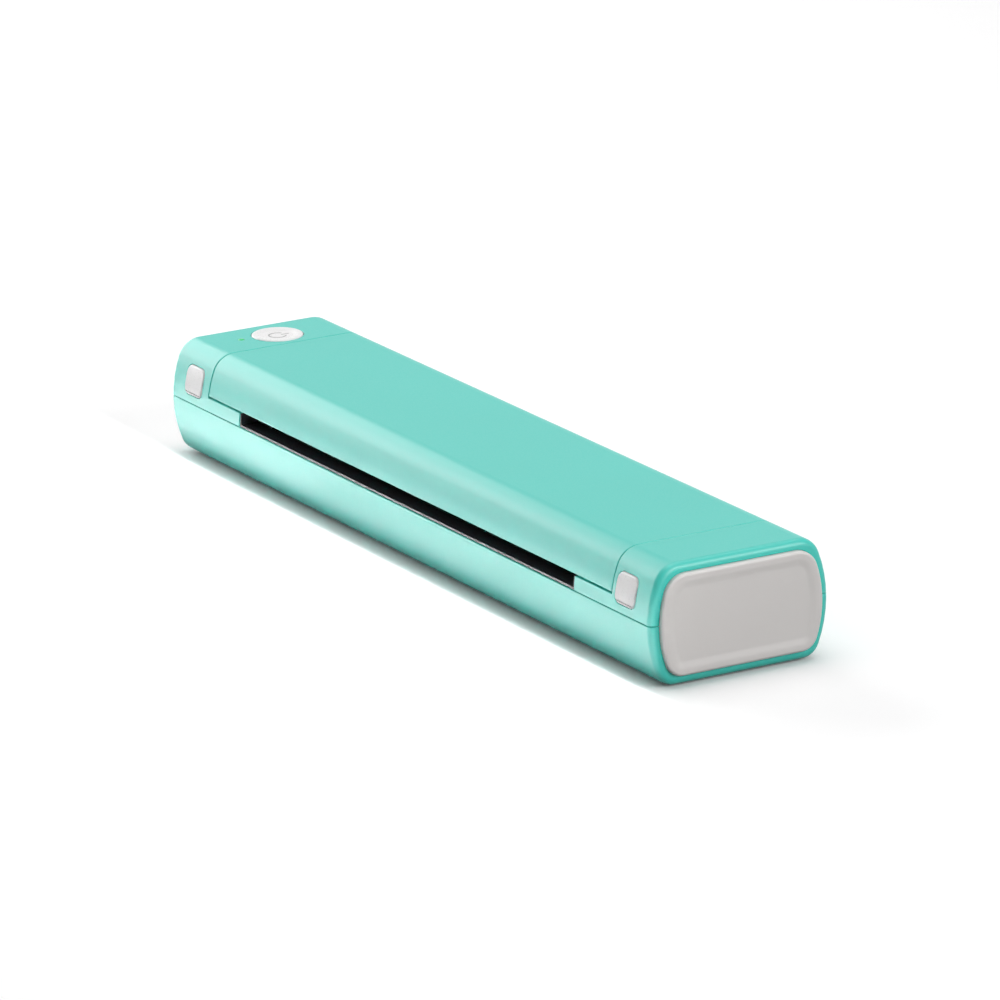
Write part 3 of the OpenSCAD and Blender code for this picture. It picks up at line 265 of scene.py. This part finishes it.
# Plates, pins and screws: pale grey with fine lines
zincSteel = drawnMetal("zinc plated steel", "#b4b6ba", "#a3a6ab", 0.34)
# Motor: darker and a little smoother
motorSteel = drawnMetal("drawn steel can", "#8c8f94", "#7d8085", 0.3)
# Heat sink: silvery, with lines along the bar
aluminium = drawnMetal("extruded aluminium", "#c4c6c9", "#b4b6b9", 0.36)
# Bushes: dull gold with a soft grain
sinteredBronze = drawnMetal("sintered bronze", "#b0905c", "#9c7f50", 0.42, along=(30, 30, 30))
# Platen: even matt black
platenRubber = siliconeRubber("ground silicone rubber", "#1d1d1f", "#262628", 0.6, 0.5)
# Feet: matt dark grey
footRubber = siliconeRubber("moulded foot rubber", "#2b2b2d", "#343436", 0.7, 0.6)
# Ribbon: near black, with a sharp sheen
ribbonFilm = woundFilm("wax ribbon film", "#0b0b0d", "#17171a")
# Power sign: flat pale grey print
signInk = mouldedPlastic("pale grey pad print", "#a9a8a8", "#a3a2a2", 0.45, 0.5, 0.01, edge=0.05)
# Boards: deep green with paler tracks
boardGreen = solderMask("green solder mask", "#1a5c3c", "#2f8a5c")
# Status light: clear bright green
greenPipe = lightPipe("green light pipe", "#0d8f45", "#2cc574")

finishes = {
    "case_plastic": caseAbs, "cap_plastic": capAbs, "button_plastic": buttonAbs,
    "light_plastic": greenPipe, "black_plastic": blackAbs, "gear_plastic": acetal,
    "core_plastic": polystyrene, "steel": zincSteel, "motor_steel": motorSteel,
    "aluminium": aluminium, "ceramic": alumina, "rubber": platenRubber,
    "foot_rubber": footRubber, "board": boardGreen, "battery_wrap": batteryWrap,
    "ribbon": ribbonFilm, "bronze": sinteredBronze,
}
slotOf = {part["node"]: part["material_slot"] for part in frame["record"]["subparts"]}
for name, node in nodes.items():
    node.data.materials.clear()
    node.data.materials.append(finishes[slotOf[name]])
print("stage: finishes made")


def skinDirection(point):
    # The way that the case's skin faces at a point, or None away from the skin
    x, y, z = point.x / mm, abs(point.y) / mm, point.z / mm - cs["footHeight"]
    angle = math.atan2(z - cs["bellyHeight"], y - bellyY)
    if z > cs["bellyHeight"] and y < topY:
        away, depth = (0, 1), cs["height"] - z
    elif z < cs["bellyHeight"] and y < bottomY:
        away, depth = (0, -1), z
    else:
        centre, radius = (bellyY, cs["bellyHeight"]), cs["bellyRadius"]
        if angle > topAngle:
            centre, radius = (topY, topZ), cs["topRadius"]
        if angle < -bottomAngle:
            centre, radius = (bottomY, bottomZ), cs["bottomRadius"]
        out = (y - centre[0], z - centre[1])
        reach = math.hypot(*out)
        away, depth = (out[0] / reach, out[1] / reach), radius - reach
    lean = 0
    over = abs(x) - (halfLength - cs["endRadius"])
    if over > 0:
        lean = math.asin(min(1, over / cs["endRadius"]))
        depth -= cs["endRadius"] * (1 - math.cos(lean))
    if abs(depth) > cs["skinTolerance"]:
        return None
    side = 1 if point.y > 0 else -1
    end = 1 if x > 0 else -1
    return Vector((end * math.sin(lean), side * away[0] * math.cos(lean), away[1] * math.cos(lean)))


holeNodes = ("push_button_left", "push_button_right", "power_button", "status_light")
holeBoxes = [boxOf(node) for node in holeNodes]


def atSeam(point):
    # True along the seams and the slots, and not at the button holes or on the flat underside
    way = skinDirection(point)
    if way and way.z < -mostly:
        return False
    room = cs["holeRoom"]
    for low, high in holeBoxes:
        if all(low[i] - room < point[i] / mm < high[i] + room for i in range(3)):
            return False
    return True


def inSkin(face, ways):
    # True for a face that lies in the skin, from the skin's directions at its corners
    return all(way and way.dot(face.normal) > cs["skinAgreement"] for way in ways)


def cleanCopy(node, pieceName):
    # A copy of a CAD node as one merged mesh, its flat parts as single faces
    piece = nodes[node].copy()
    piece.data = nodes[node].data.copy()
    piece.name = piece.data.name = pieceName
    piece.parent = None
    for key in list(piece.keys()):
        del piece[key]
    bpy.context.collection.objects.link(piece)
    selectOnly(piece)
    bpy.ops.mesh.customdata_custom_splitnormals_clear()
    bpy.ops.object.mode_set(mode="EDIT")
    bpy.ops.mesh.select_all(action="SELECT")
    bpy.ops.mesh.remove_doubles(threshold=0.002 * mm)
    bpy.ops.mesh.dissolve_limited(angle_limit=math.radians(0.5))
    bpy.ops.mesh.select_all(action="DESELECT")
    bpy.ops.object.mode_set(mode="OBJECT")
    return piece


def roundSeams(mesh):
    # Rounds the edges between the skin and the walls that leave it
    sides = {}
    for face in mesh.polygons:
        ways = [skinDirection(mesh.vertices[v].co) for v in face.vertices]
        outer = inSkin(face, ways)
        for key in face.edge_keys:
            sides.setdefault(key, []).append(outer)
    for edge in mesh.edges:
        start, end = (mesh.vertices[v].co for v in edge.vertices)
        edge.select = sorted(sides.get(edge.key, [])) == [False, True] and atSeam((start + end) / 2)
    bpy.ops.object.mode_set(mode="EDIT")
    bpy.ops.mesh.bevel(offset=cs["seamRadius"] * mm, segments=2, affect="EDGES", loop_slide=False)
    bpy.ops.object.mode_set(mode="OBJECT")


def shadeSkin(mesh):
    # Shades the skin's flat facets as the true curve
    facing = [corner.vector.copy() for corner in mesh.corner_normals]
    for face in mesh.polygons:
        ways = [skinDirection(mesh.vertices[v].co) or skinDirection(face.center) for v in face.vertices]
        if inSkin(face, ways):
            for corner, way in zip(face.loop_indices, ways):
                facing[corner] = way
    mesh.normals_split_custom_set(facing)


def mouldedCopy(node, pieceName, body, finish):
    # One of the case's mouldings, with rounded seams and a smooth skin
    piece = cleanCopy(node, pieceName)
    roundSeams(piece.data)
    settle(piece, body, finish)
    shadeSkin(piece.data)
    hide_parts(node)


mouldedCopy("lower_case", "base_moulding", "case", caseAbs)
mouldedCopy("upper_case", "top_moulding", "case", caseAbs)
mouldedCopy("cover", "cover_moulding", "cover", caseAbs)
print("stage: case mouldings copied and shaded")


def edit(piece):
    selectOnly(piece)
    bpy.ops.object.mode_set(mode="EDIT")


rightward = Vector((1, 0, 0))
backward = Vector((0, 1, 0))
upward = Vector((0, 0, 1))
downward = -upward


def pick(piece, kind, direction):
    # Selects the faces that face a direction, or the edges that run along it, in edit mode
    edit(piece)
    bpy.ops.mesh.select_mode(type=kind)
    bpy.ops.mesh.select_all(action="DESELECT")
    bpy.ops.object.mode_set(mode="OBJECT")
    mesh = piece.data
    if kind == "FACE":
        for face in mesh.polygons:
            face.select = face.normal.dot(direction) > mostly
    else:
        for line in mesh.edges:
            start, end = (mesh.vertices[v].co for v in line.vertices)
            line.select = abs((end - start).normalized().dot(direction)) > mostly
    bpy.ops.object.mode_set(mode="EDIT")


def inward(width, height):
    # Insets the picked face by width and lifts it by height, in millimetres
    bpy.ops.mesh.inset(thickness=width * mm, depth=height * mm)


def roundOver(radius, steps):
    # A quarter round that ends the picked face's walls
    for i in range(steps):
        a, b = (math.radians(90 * k / steps) for k in (i, i + 1))
        inward(radius * (math.cos(a) - math.cos(b)), radius * (math.sin(b) - math.sin(a)))


def softStep(width, depth, steps):
    # A soft S-shaped slope down from the picked face
    fall = [t * t * (3 - 2 * t) for t in (k / steps for k in range(steps + 1))]
    for i in range(steps):
        inward(width / steps, -depth * (fall[i + 1] - fall[i]))


def push(x, y, z):
    bpy.ops.mesh.extrude_region_move(TRANSFORM_OT_translate={"value": (x * mm, y * mm, z * mm)})


def closeUp(piece):
    # Merges doubles and turns every face outwards
    edit(piece)
    bpy.ops.mesh.select_all(action="SELECT")
    bpy.ops.mesh.remove_doubles(threshold=0.001 * mm)
    bpy.ops.mesh.normals_make_consistent(inside=False)
    bpy.ops.object.mode_set(mode="OBJECT")


def named(piece, name):
    # Names the active piece and leaves its origin at the frame's origin
    piece.name = piece.data.name = name
    bpy.ops.object.transform_apply(location=True, rotation=True, scale=True)
    return piece


def startBox(name, low, high):
    middle = [(a + b) / 2 * mm for a, b in zip(low, high)]
    bpy.ops.mesh.primitive_cube_add(size=mm, location=middle)
    piece = bpy.context.object
    piece.scale = [b - a for a, b in zip(low, high)]
    return named(piece, name)


def startDisc(name, x, y, low, high, radius, sides):
    bpy.ops.mesh.primitive_cylinder_add(vertices=sides, radius=radius * mm, depth=(high - low) * mm,
                                        location=(x * mm, y * mm, (low + high) / 2 * mm))
    return named(bpy.context.object, name)


def flatten(piece):
    # Keeps the flat faces flat beside their rounded edges
    selectOnly(piece)
    bpy.ops.object.shade_smooth_by_angle(angle=math.radians(35))
    bpy.ops.object.modifier_add(type="WEIGHTED_NORMAL")
    piece.modifiers[-1].keep_sharp = True
    applyAll(piece)


def together(pieces):
    selectOnly(pieces[0])
    for piece in pieces[1:]:
        piece.select_set(True)
    bpy.ops.object.join()
    return pieces[0]


def copyAt(piece, name, x, y):
    # A copy with its own mesh, moved by x and y
    selectOnly(piece)
    bpy.ops.object.duplicate(linked=False)
    twin = bpy.context.object
    twin.location = (x * mm, y * mm, 0)
    return named(twin, name)


endCap = {
    "inFromCase": 3.2,
    "softerCorners": 2.6,
    "seatDepth": 1.2,
    "proud": 1.8,
    "edgeRadius": 1,
    "rimWidth": 2,
    "slopeWidth": 3,
    "dishDepth": 0.42,
}


def edgeCentre(radius, z):
    # Centre of an edge arc at height z, and the angle at which it meets the bulged side
    y = bellyY + math.sqrt((cs["bellyRadius"] - radius) ** 2 - (z - cs["bellyHeight"]) ** 2)
    return y, z, math.degrees(math.atan2(z - cs["bellyHeight"], y - bellyY))


def capOutline(x):
    # The case's section, set in and with softer corners: half is spun arc by arc and mirrored
    c = endCap
    top, bottom = cs["topRadius"] + c["softerCorners"], cs["bottomRadius"] + c["softerCorners"]
    high = cs["height"] - c["inFromCase"]
    topPlace = edgeCentre(top, cs["height"] - top)
    bottomPlace = edgeCentre(bottom, bottom)
    lift = cs["footHeight"]
    bpy.ops.mesh.primitive_plane_add(size=mm, location=(x * mm, 0, (high + lift) * mm))
    piece = named(bpy.context.object, "endCapRight")
    edit(piece)
    bpy.ops.mesh.merge(type="CENTER")
    push(0, topPlace[0], 0)
    bends = ((topPlace, 90, topPlace[2]), ((bellyY, cs["bellyHeight"]), topPlace[2], bottomPlace[2]),
             (bottomPlace, bottomPlace[2], -90))
    for place, start, stop in bends:
        bpy.ops.mesh.spin(steps=14, angle=math.radians(start - stop), axis=(1, 0, 0),
                          center=(x * mm, place[0] * mm, (place[1] + lift) * mm))
    push(0, -bottomPlace[0], 0)
    bpy.ops.object.mode_set(mode="OBJECT")
    bpy.ops.object.modifier_add(type="MIRROR")
    piece.modifiers[-1].use_axis = (False, True, False)
    applyAll(piece)
    edit(piece)
    bpy.ops.mesh.select_all(action="SELECT")
    bpy.ops.mesh.remove_doubles(threshold=0.001 * mm)
    bpy.ops.mesh.select_all(action="SELECT")
    bpy.ops.mesh.edge_face_add()
    return piece


def makeEndCaps():
    c = endCap
    seat = halfLength - c["seatDepth"]
    cap = capOutline(seat)
    push(c["seatDepth"] + c["proud"] - c["edgeRadius"], 0, 0)
    closeUp(cap)
    pick(cap, "FACE", rightward)
    roundOver(c["edgeRadius"], steps=5)
    inward(c["rimWidth"] - c["edgeRadius"], 0)
    softStep(c["slopeWidth"], c["dishDepth"], steps=8)
    bpy.ops.object.mode_set(mode="OBJECT")
    selectOnly(cap)
    bpy.ops.object.duplicate(linked=False)
    twin = bpy.context.object
    twin.scale.x = -1
    named(twin, "endCapLeft")
    closeUp(twin)
    for piece, node in ((cap, "end_cap_right"), (twin, "end_cap_left")):
        flatten(piece)
        settle(piece, "case", capAbs, angle=0)
        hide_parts(node)


makeEndCaps()
print("stage: end caps")

pushButton = {
    "width": 11.7,
    "height": 9.7,
    "cornerRadius": 2.5,
    "inFromEnd": 15.6,
    "centreHeight": 27.9,
    "proud": 0.3,
    "rimRadius": 0.5,
    "rows": 12,  # the face is cut into these to follow the bulge
    "frontRoom": 1,  # the uncut block stands this far before the face
    "reach": 2.2,  # from the top of the face in to the flange
    "flangeWidth": 1.1,
    "flangeThickness": 1.2,
}


def buttonFace(z):
    # How far out the button's face lies at height z, following the case's bulge
    rise = z - cs["footHeight"] - cs["bellyHeight"]
    return bellyY + math.sqrt((cs["bellyRadius"] + pushButton["proud"]) ** 2 - rise ** 2)


def roundedBlock(name, low, high, radius):
    # A block with rounded corners as seen from the front
    block = startBox(name, low, high)
    pick(block, "EDGE", backward)
    bpy.ops.mesh.bevel(offset=radius * mm, segments=8, affect="EDGES")
    bpy.ops.object.mode_set(mode="OBJECT")
    return block


def makePushButton(side, name, node, body):
    b = pushButton
    middleX = side * (halfLength - b["inFromEnd"])
    middleZ = b["centreHeight"] + cs["footHeight"]
    left, right = middleX - b["width"] / 2, middleX + b["width"] / 2
    bottom, top = middleZ - b["height"] / 2, middleZ + b["height"] / 2
    back = -buttonFace(top) + b["reach"]
    front = -buttonFace(middleZ) - b["frontRoom"]
    button = roundedBlock(name, (left, front, bottom), (right, back, top), b["cornerRadius"])
    # The front is cut into rows and moved back onto the bulge
    edit(button)
    for i in range(1, b["rows"]):
        bpy.ops.mesh.select_all(action="SELECT")
        level = bottom + (top - bottom) * i / b["rows"]
        bpy.ops.mesh.bisect(plane_co=(0, 0, level * mm), plane_no=(0, 0, 1))
    bpy.ops.object.mode_set(mode="OBJECT")
    for point in button.data.vertices:
        if point.co.y < (front + b["frontRoom"] / 2) * mm:
            point.co.y = -buttonFace(point.co.z / mm) * mm
    # The rim of the front is rounded, and the edges at the back stay sharp
    edit(button)
    bpy.ops.mesh.select_mode(type="EDGE")
    bpy.ops.mesh.select_all(action="DESELECT")
    bpy.ops.mesh.edges_select_sharp(sharpness=math.radians(50))
    bpy.ops.object.mode_set(mode="OBJECT")
    for line in button.data.edges:
        middle = sum(button.data.vertices[v].co.y for v in line.vertices) / 2
        line.select = line.select and middle < (back - b["reach"] / 2) * mm
    bpy.ops.object.mode_set(mode="EDIT")
    bpy.ops.mesh.bevel(offset=b["rimRadius"] * mm, segments=4, affect="EDGES")
    bpy.ops.object.mode_set(mode="OBJECT")
    rim = b["flangeWidth"]
    flangeLeft, flangeRight = (left, right + rim) if side > 0 else (left - rim, right)
    flangeLow = (flangeLeft, back, bottom - rim)
    flangeHigh = (flangeRight, back + b["flangeThickness"], top + rim)
    flange = roundedBlock("flange", flangeLow, flangeHigh, b["cornerRadius"])
    button = together([button, flange])
    flatten(button)
    settle(button, body, buttonAbs, angle=0)
    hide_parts(node)


makePushButton(-1, "pushButtonLeft", "push_button_left", "push_left")
makePushButton(1, "pushButtonRight", "push_button_right", "push_right")
print("stage: push buttons")

powerButton = {
    "radius": 8.75,
    "proud": 0.3,
    "rimRadius": 0.5,
    "rimWidth": 0.7,
    "slopeWidth": 2.6,
    "dishDepth": 0.55,
    "flangeDepth": 2.3,
    "flangeThickness": 0.8,
    "ringRadius": 2.9,
    "ringGap": 70,
    "lineWidth": 0.55,
    "lineHeight": 0.06,
    "barLength": 3,
    "barRadius": 0.22,
}


def makePowerButton():
    b = powerButton
    low, high = boxOf("power_button")
    x, y = (low.x + high.x) / 2, (low.y + high.y) / 2
    top = cs["height"] + cs["footHeight"] + b["proud"]
    flangeTop = top - b["proud"] - b["flangeDepth"]
    button = startDisc("powerButton", x, y, flangeTop, top - b["rimRadius"], b["radius"], sides=96)
    pick(button, "FACE", upward)
    roundOver(b["rimRadius"], steps=5)
    inward(b["rimWidth"], 0)
    softStep(b["slopeWidth"], b["dishDepth"], steps=8)
    pick(button, "FACE", downward)
    # A new ring of faces in the same place, widened to the flange and then pushed down
    push(0, 0, 0)
    wide = (high.x - low.x) / 2 / b["radius"]
    bpy.ops.transform.resize(value=(wide, wide, 1), center_override=(x * mm, y * mm, flangeTop * mm))
    push(0, 0, -b["flangeThickness"])
    closeUp(button)
    flatten(button)
    settle(button, "power", buttonAbs, angle=0)
    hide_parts("power_button")
    makePowerSign(x, y, top - b["dishDepth"])


def makePowerSign(x, y, level):
    # An open ring with a bar in its gap, printed in pale grey
    b = powerButton
    bpy.ops.mesh.primitive_plane_add(size=mm, rotation=(math.radians(90), 0, 0),
                                     location=(b["ringRadius"] * mm, 0, level * mm))
    ring = bpy.context.object
    ring.scale = (b["lineWidth"], 2 * b["lineHeight"], 1)
    named(ring, "powerSign")
    edit(ring)
    bpy.ops.mesh.select_all(action="SELECT")
    bpy.ops.mesh.spin(steps=48, angle=math.radians(360 - b["ringGap"]), axis=(0, 0, 1),
                      center=(0, 0, level * mm))
    closeUp(ring)
    ring.rotation_euler.z = math.radians(90 - b["ringGap"] / 2)
    ring.location = (x * mm, y * mm, 0)
    named(ring, "powerSign")
    barMiddle = Vector((x, y + b["ringRadius"], level))
    barHalf = Vector((b["lineWidth"] / 2, b["barLength"] / 2, b["lineHeight"]))
    bar = startBox("bar", barMiddle - barHalf, barMiddle + barHalf)
    pick(bar, "EDGE", upward)
    bpy.ops.mesh.bevel(offset=b["barRadius"] * mm, segments=4, affect="EDGES")
    bpy.ops.object.mode_set(mode="OBJECT")
    settle(together([ring, bar]), "power", signInk)


makePowerButton()

statusLight = {"radius": 1.1, "domeHeight": 0.35, "domeAngle": 80, "domeSteps": 8}


def makeStatusLight():
    s = statusLight
    low, high = boxOf("status_light")
    x, y = (low.x + high.x) / 2, (low.y + high.y) / 2
    light = startDisc("statusLens", x, y, low.z, high.z - s["domeHeight"] / 2, s["radius"], sides=48)
    pick(light, "FACE", upward)
    for i in range(s["domeSteps"]):
        a, b = (math.radians(s["domeAngle"] * k / s["domeSteps"]) for k in (i, i + 1))
        inward(s["radius"] * (math.cos(a) - math.cos(b)), s["domeHeight"] * (math.sin(b) - math.sin(a)))
    closeUp(light)
    settle(light, "case", greenPipe, angle=50)
    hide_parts("status_light")


makeStatusLight()
print("stage: power button and light")

rubberFoot = {"radius": 4.5, "edgeRadius": 0.35, "ringWidth": 1.1, "hollowWidth": 0.5, "hollowDepth": 0.25}


def makeFeet():
    f = rubberFoot
    low, high = boxOf("rubber_feet")
    x, y = high.x - f["radius"], high.y - f["radius"]
    foot = startDisc("rubberFoot1", x, y, low.z + f["edgeRadius"], high.z, f["radius"], sides=72)
    pick(foot, "FACE", downward)
    roundOver(f["edgeRadius"], steps=4)
    inward(f["ringWidth"], 0)
    softStep(f["hollowWidth"], f["hollowDepth"], steps=4)
    closeUp(foot)
    flatten(foot)
    feet = [foot]
    for name, moveX, moveY in (("rubberFoot2", -2 * x, 0), ("rubberFoot3", 0, -2 * y),
                               ("rubberFoot4", -2 * x, -2 * y)):
        feet.append(copyAt(foot, name, moveX, moveY))
    for piece in feet:
        settle(piece, "case", footRubber, angle=0)
        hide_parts("rubber_feet")


makeFeet()

screws = {
    "case": {
        "headRadius": 1.9,
        "headHeight": 1.4,
        "edgeRadius": 0.57,
        "shankRadius": 1,
        "crossLength": 2.4,
        "crossWidth": 0.55,
        "crossDepth": 0.8,
    },
    "frame": {
        "headRadius": 1.7,
        "headHeight": 1,
        "edgeRadius": 0.51,
        "shankRadius": 1,
        "crossLength": 2.1,
        "crossWidth": 0.5,
        "crossDepth": 0.6,
    },
    # Shared by both kinds
    "tipLength": 0.8,
    "tipTaper": 0.5,
    "crossTaper": (0.55, 0.7, 1),
    "crossRoom": 1,  # the cutter of the recess starts this far outside the head
    "rowPlaces": (0, 0.33, 0.67, 1),
}


def makeScrew(name, kind, x, y, headLow, tip):
    # A pan head at the bottom, with a pressed cross recess, and a plain shank up to its tip
    s = screws[kind]
    headTop = headLow + s["headHeight"]
    screw = startDisc(name, x, y, headLow + s["edgeRadius"], headTop, s["headRadius"], sides=40)
    pick(screw, "FACE", downward)
    roundOver(s["edgeRadius"], steps=4)
    pick(screw, "FACE", upward)
    inward(s["headRadius"] - s["shankRadius"], 0)
    push(0, 0, tip - headTop - screws["tipLength"])
    push(0, 0, screws["tipLength"])
    taper = screws["tipTaper"]
    bpy.ops.transform.resize(value=(taper, taper, 1), center_override=(x * mm, y * mm, tip * mm))
    closeUp(screw)
    reachX, reachY = s["crossLength"] / 2, s["crossWidth"] / 2
    for turn in (0, 90):
        slot = startBox("slot", (x - reachX, y - reachY, headLow - screws["crossRoom"]),
                        (x + reachX, y + reachY, headLow + s["crossDepth"]))
        pick(slot, "FACE", upward)
        bpy.ops.transform.resize(value=screws["crossTaper"], center_override=(x * mm, y * mm, headLow * mm))
        if turn:
            bpy.ops.mesh.select_all(action="SELECT")
            bpy.ops.transform.rotate(value=math.radians(turn), orient_axis="Z",
                                     center_override=(x * mm, y * mm, 0))
        selectOnly(screw)
        bpy.ops.object.modifier_add(type="BOOLEAN")
        screw.modifiers[-1].object = slot
        applyAll(screw)
        bpy.data.objects.remove(slot)
    flatten(screw)
    return screw


def makeScrewSet(node, kind, name, body, shifts):
    low, high = boxOf(node)
    radius = screws[kind]["headRadius"]
    x, y = low.x + radius, low.y + radius
    first = makeScrew(name, kind, x, y, low.z, high.z)
    rest = [copyAt(first, f"{name}{i}", u, v) for i, (u, v) in enumerate(shifts(high - low, radius), 2)]
    both = together([first] + rest)
    settle(both, body, zincSteel, angle=0)
    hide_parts(node)


def cornerShifts(span, radius):
    # The moves from the first screw to the others, one in each corner
    wide, deep = span.x - 2 * radius, span.y - 2 * radius
    return [(wide, 0), (0, deep), (wide, deep)]


def rowShifts(span, radius):
    # The same for two rows of screws
    wide, deep = span.x - 2 * radius, span.y - 2 * radius
    return [(wide * u, v) for v in (0, deep) for u in screws["rowPlaces"] if u or v]


makeScrewSet("case_screws", "case", "caseScrew", "case", cornerShifts)
makeScrewSet("frame_screws", "frame", "frameScrew", "cover", rowShifts)
print("stage: feet and screws")


studio = {
    "floorSize": 6000,
    "ambient": 0.22,
    "floorWhite": "#ffffff",
    "floorBounce": "#2c2c2c",
    "lamps": [
        # name, place, aim, width, height, power in watts, spread in degrees
        ("overheadBox", (-100, 100, 1500), (0, 0, 0), 1600, 1400, 13, 180),
        ("sideBox", (-1430, -300, 470), (0, 0, 20), 1400, 900, 17, 180),
        ("endBox", (1500, 500, 700), (100, 0, 20), 1200, 900, 18, 180),
        ("tableStrip", (80, -170, 60), (80, -170, 0), 800, 260, 11, 20),
    ],
    # The camera that was fitted to the photograph: its place and its three directions
    "camera": (2076.018, -1181.557, 736.924),
    "right": (0.50185048, 0.86469009, -0.0213809),
    "up": (-0.23939852, 0.1626111, 0.95720739),
    "forward": (-0.83116451, 0.47525643, -0.28861198),
    "lens": 278.52,
}


def paleLight(tree):
    # 1 where the camera, a reflection or a view through glass meets it, and 0 for the light
    # that it throws on the printer
    path = addNode(tree, "ShaderNodeLightPath")
    seen = path.outputs["Is Camera Ray"]
    for ray in ("Is Glossy Ray", "Is Transmission Ray"):
        either = addNode(tree, "ShaderNodeMath", {0: seen, 1: path.outputs[ray]}, operation="MAXIMUM")
        seen = either.outputs[0]
    return seen


bpy.ops.mesh.primitive_plane_add(size=studio["floorSize"] * mm)
floor = bpy.context.object
floor.name = "studioFloor"
paper = bpy.data.materials.new("white backdrop paper")
paper.use_nodes = True
tree = paper.node_tree
shader = tree.nodes["Principled BSDF"]
floorTint = addNode(tree, "ShaderNodeMix", {"Factor": paleLight(tree), "A": linear(studio["floorBounce"]),
                    "B": linear(studio["floorWhite"])}, data_type="RGBA")
tree.links.new(floorTint.outputs["Result"], shader.inputs["Base Color"])
shader.inputs["Roughness"].default_value = 0.9
floor.data.materials.append(paper)

world = bpy.data.worlds.new("studio")
bpy.context.scene.world = world
world.use_nodes = True
tree = world.node_tree
backdrop = tree.nodes["Background"]
backdrop.inputs["Color"].default_value = (1, 1, 1, 1)
strength = addNode(tree, "ShaderNodeMapRange", {"Value": paleLight(tree), "To Min": studio["ambient"],
                   "To Max": 1})
tree.links.new(strength.outputs["Result"], backdrop.inputs["Strength"])

for name, place, aim, width, height, power, spread in studio["lamps"]:
    light = bpy.data.lights.new(name, "AREA")
    light.shape = "RECTANGLE"
    light.size, light.size_y, light.energy = width * mm, height * mm, power
    light.spread = math.radians(spread)
    lamp = bpy.data.objects.new(name, light)
    bpy.context.collection.objects.link(lamp)
    lamp.visible_camera = False
    lamp.location = Vector(place) * mm
    lamp.rotation_euler = (Vector(aim) - Vector(place)).to_track_quat("-Z", "Y").to_euler()

camera = bpy.data.objects.new("photoCamera", bpy.data.cameras.new("photoCamera"))
bpy.context.collection.objects.link(camera)
camera.data.sensor_width = 36
camera.data.lens = studio["lens"]
turn = Matrix((studio["right"], studio["up"], [-v for v in studio["forward"]])).transposed()
camera.matrix_world = Matrix.Translation(Vector(studio["camera"]) * mm) @ turn.to_4x4()
camera.data.clip_end = 20
bpy.context.scene.camera = camera
bpy.context.scene.view_settings.view_transform = "Standard"
print("stage: studio ready")
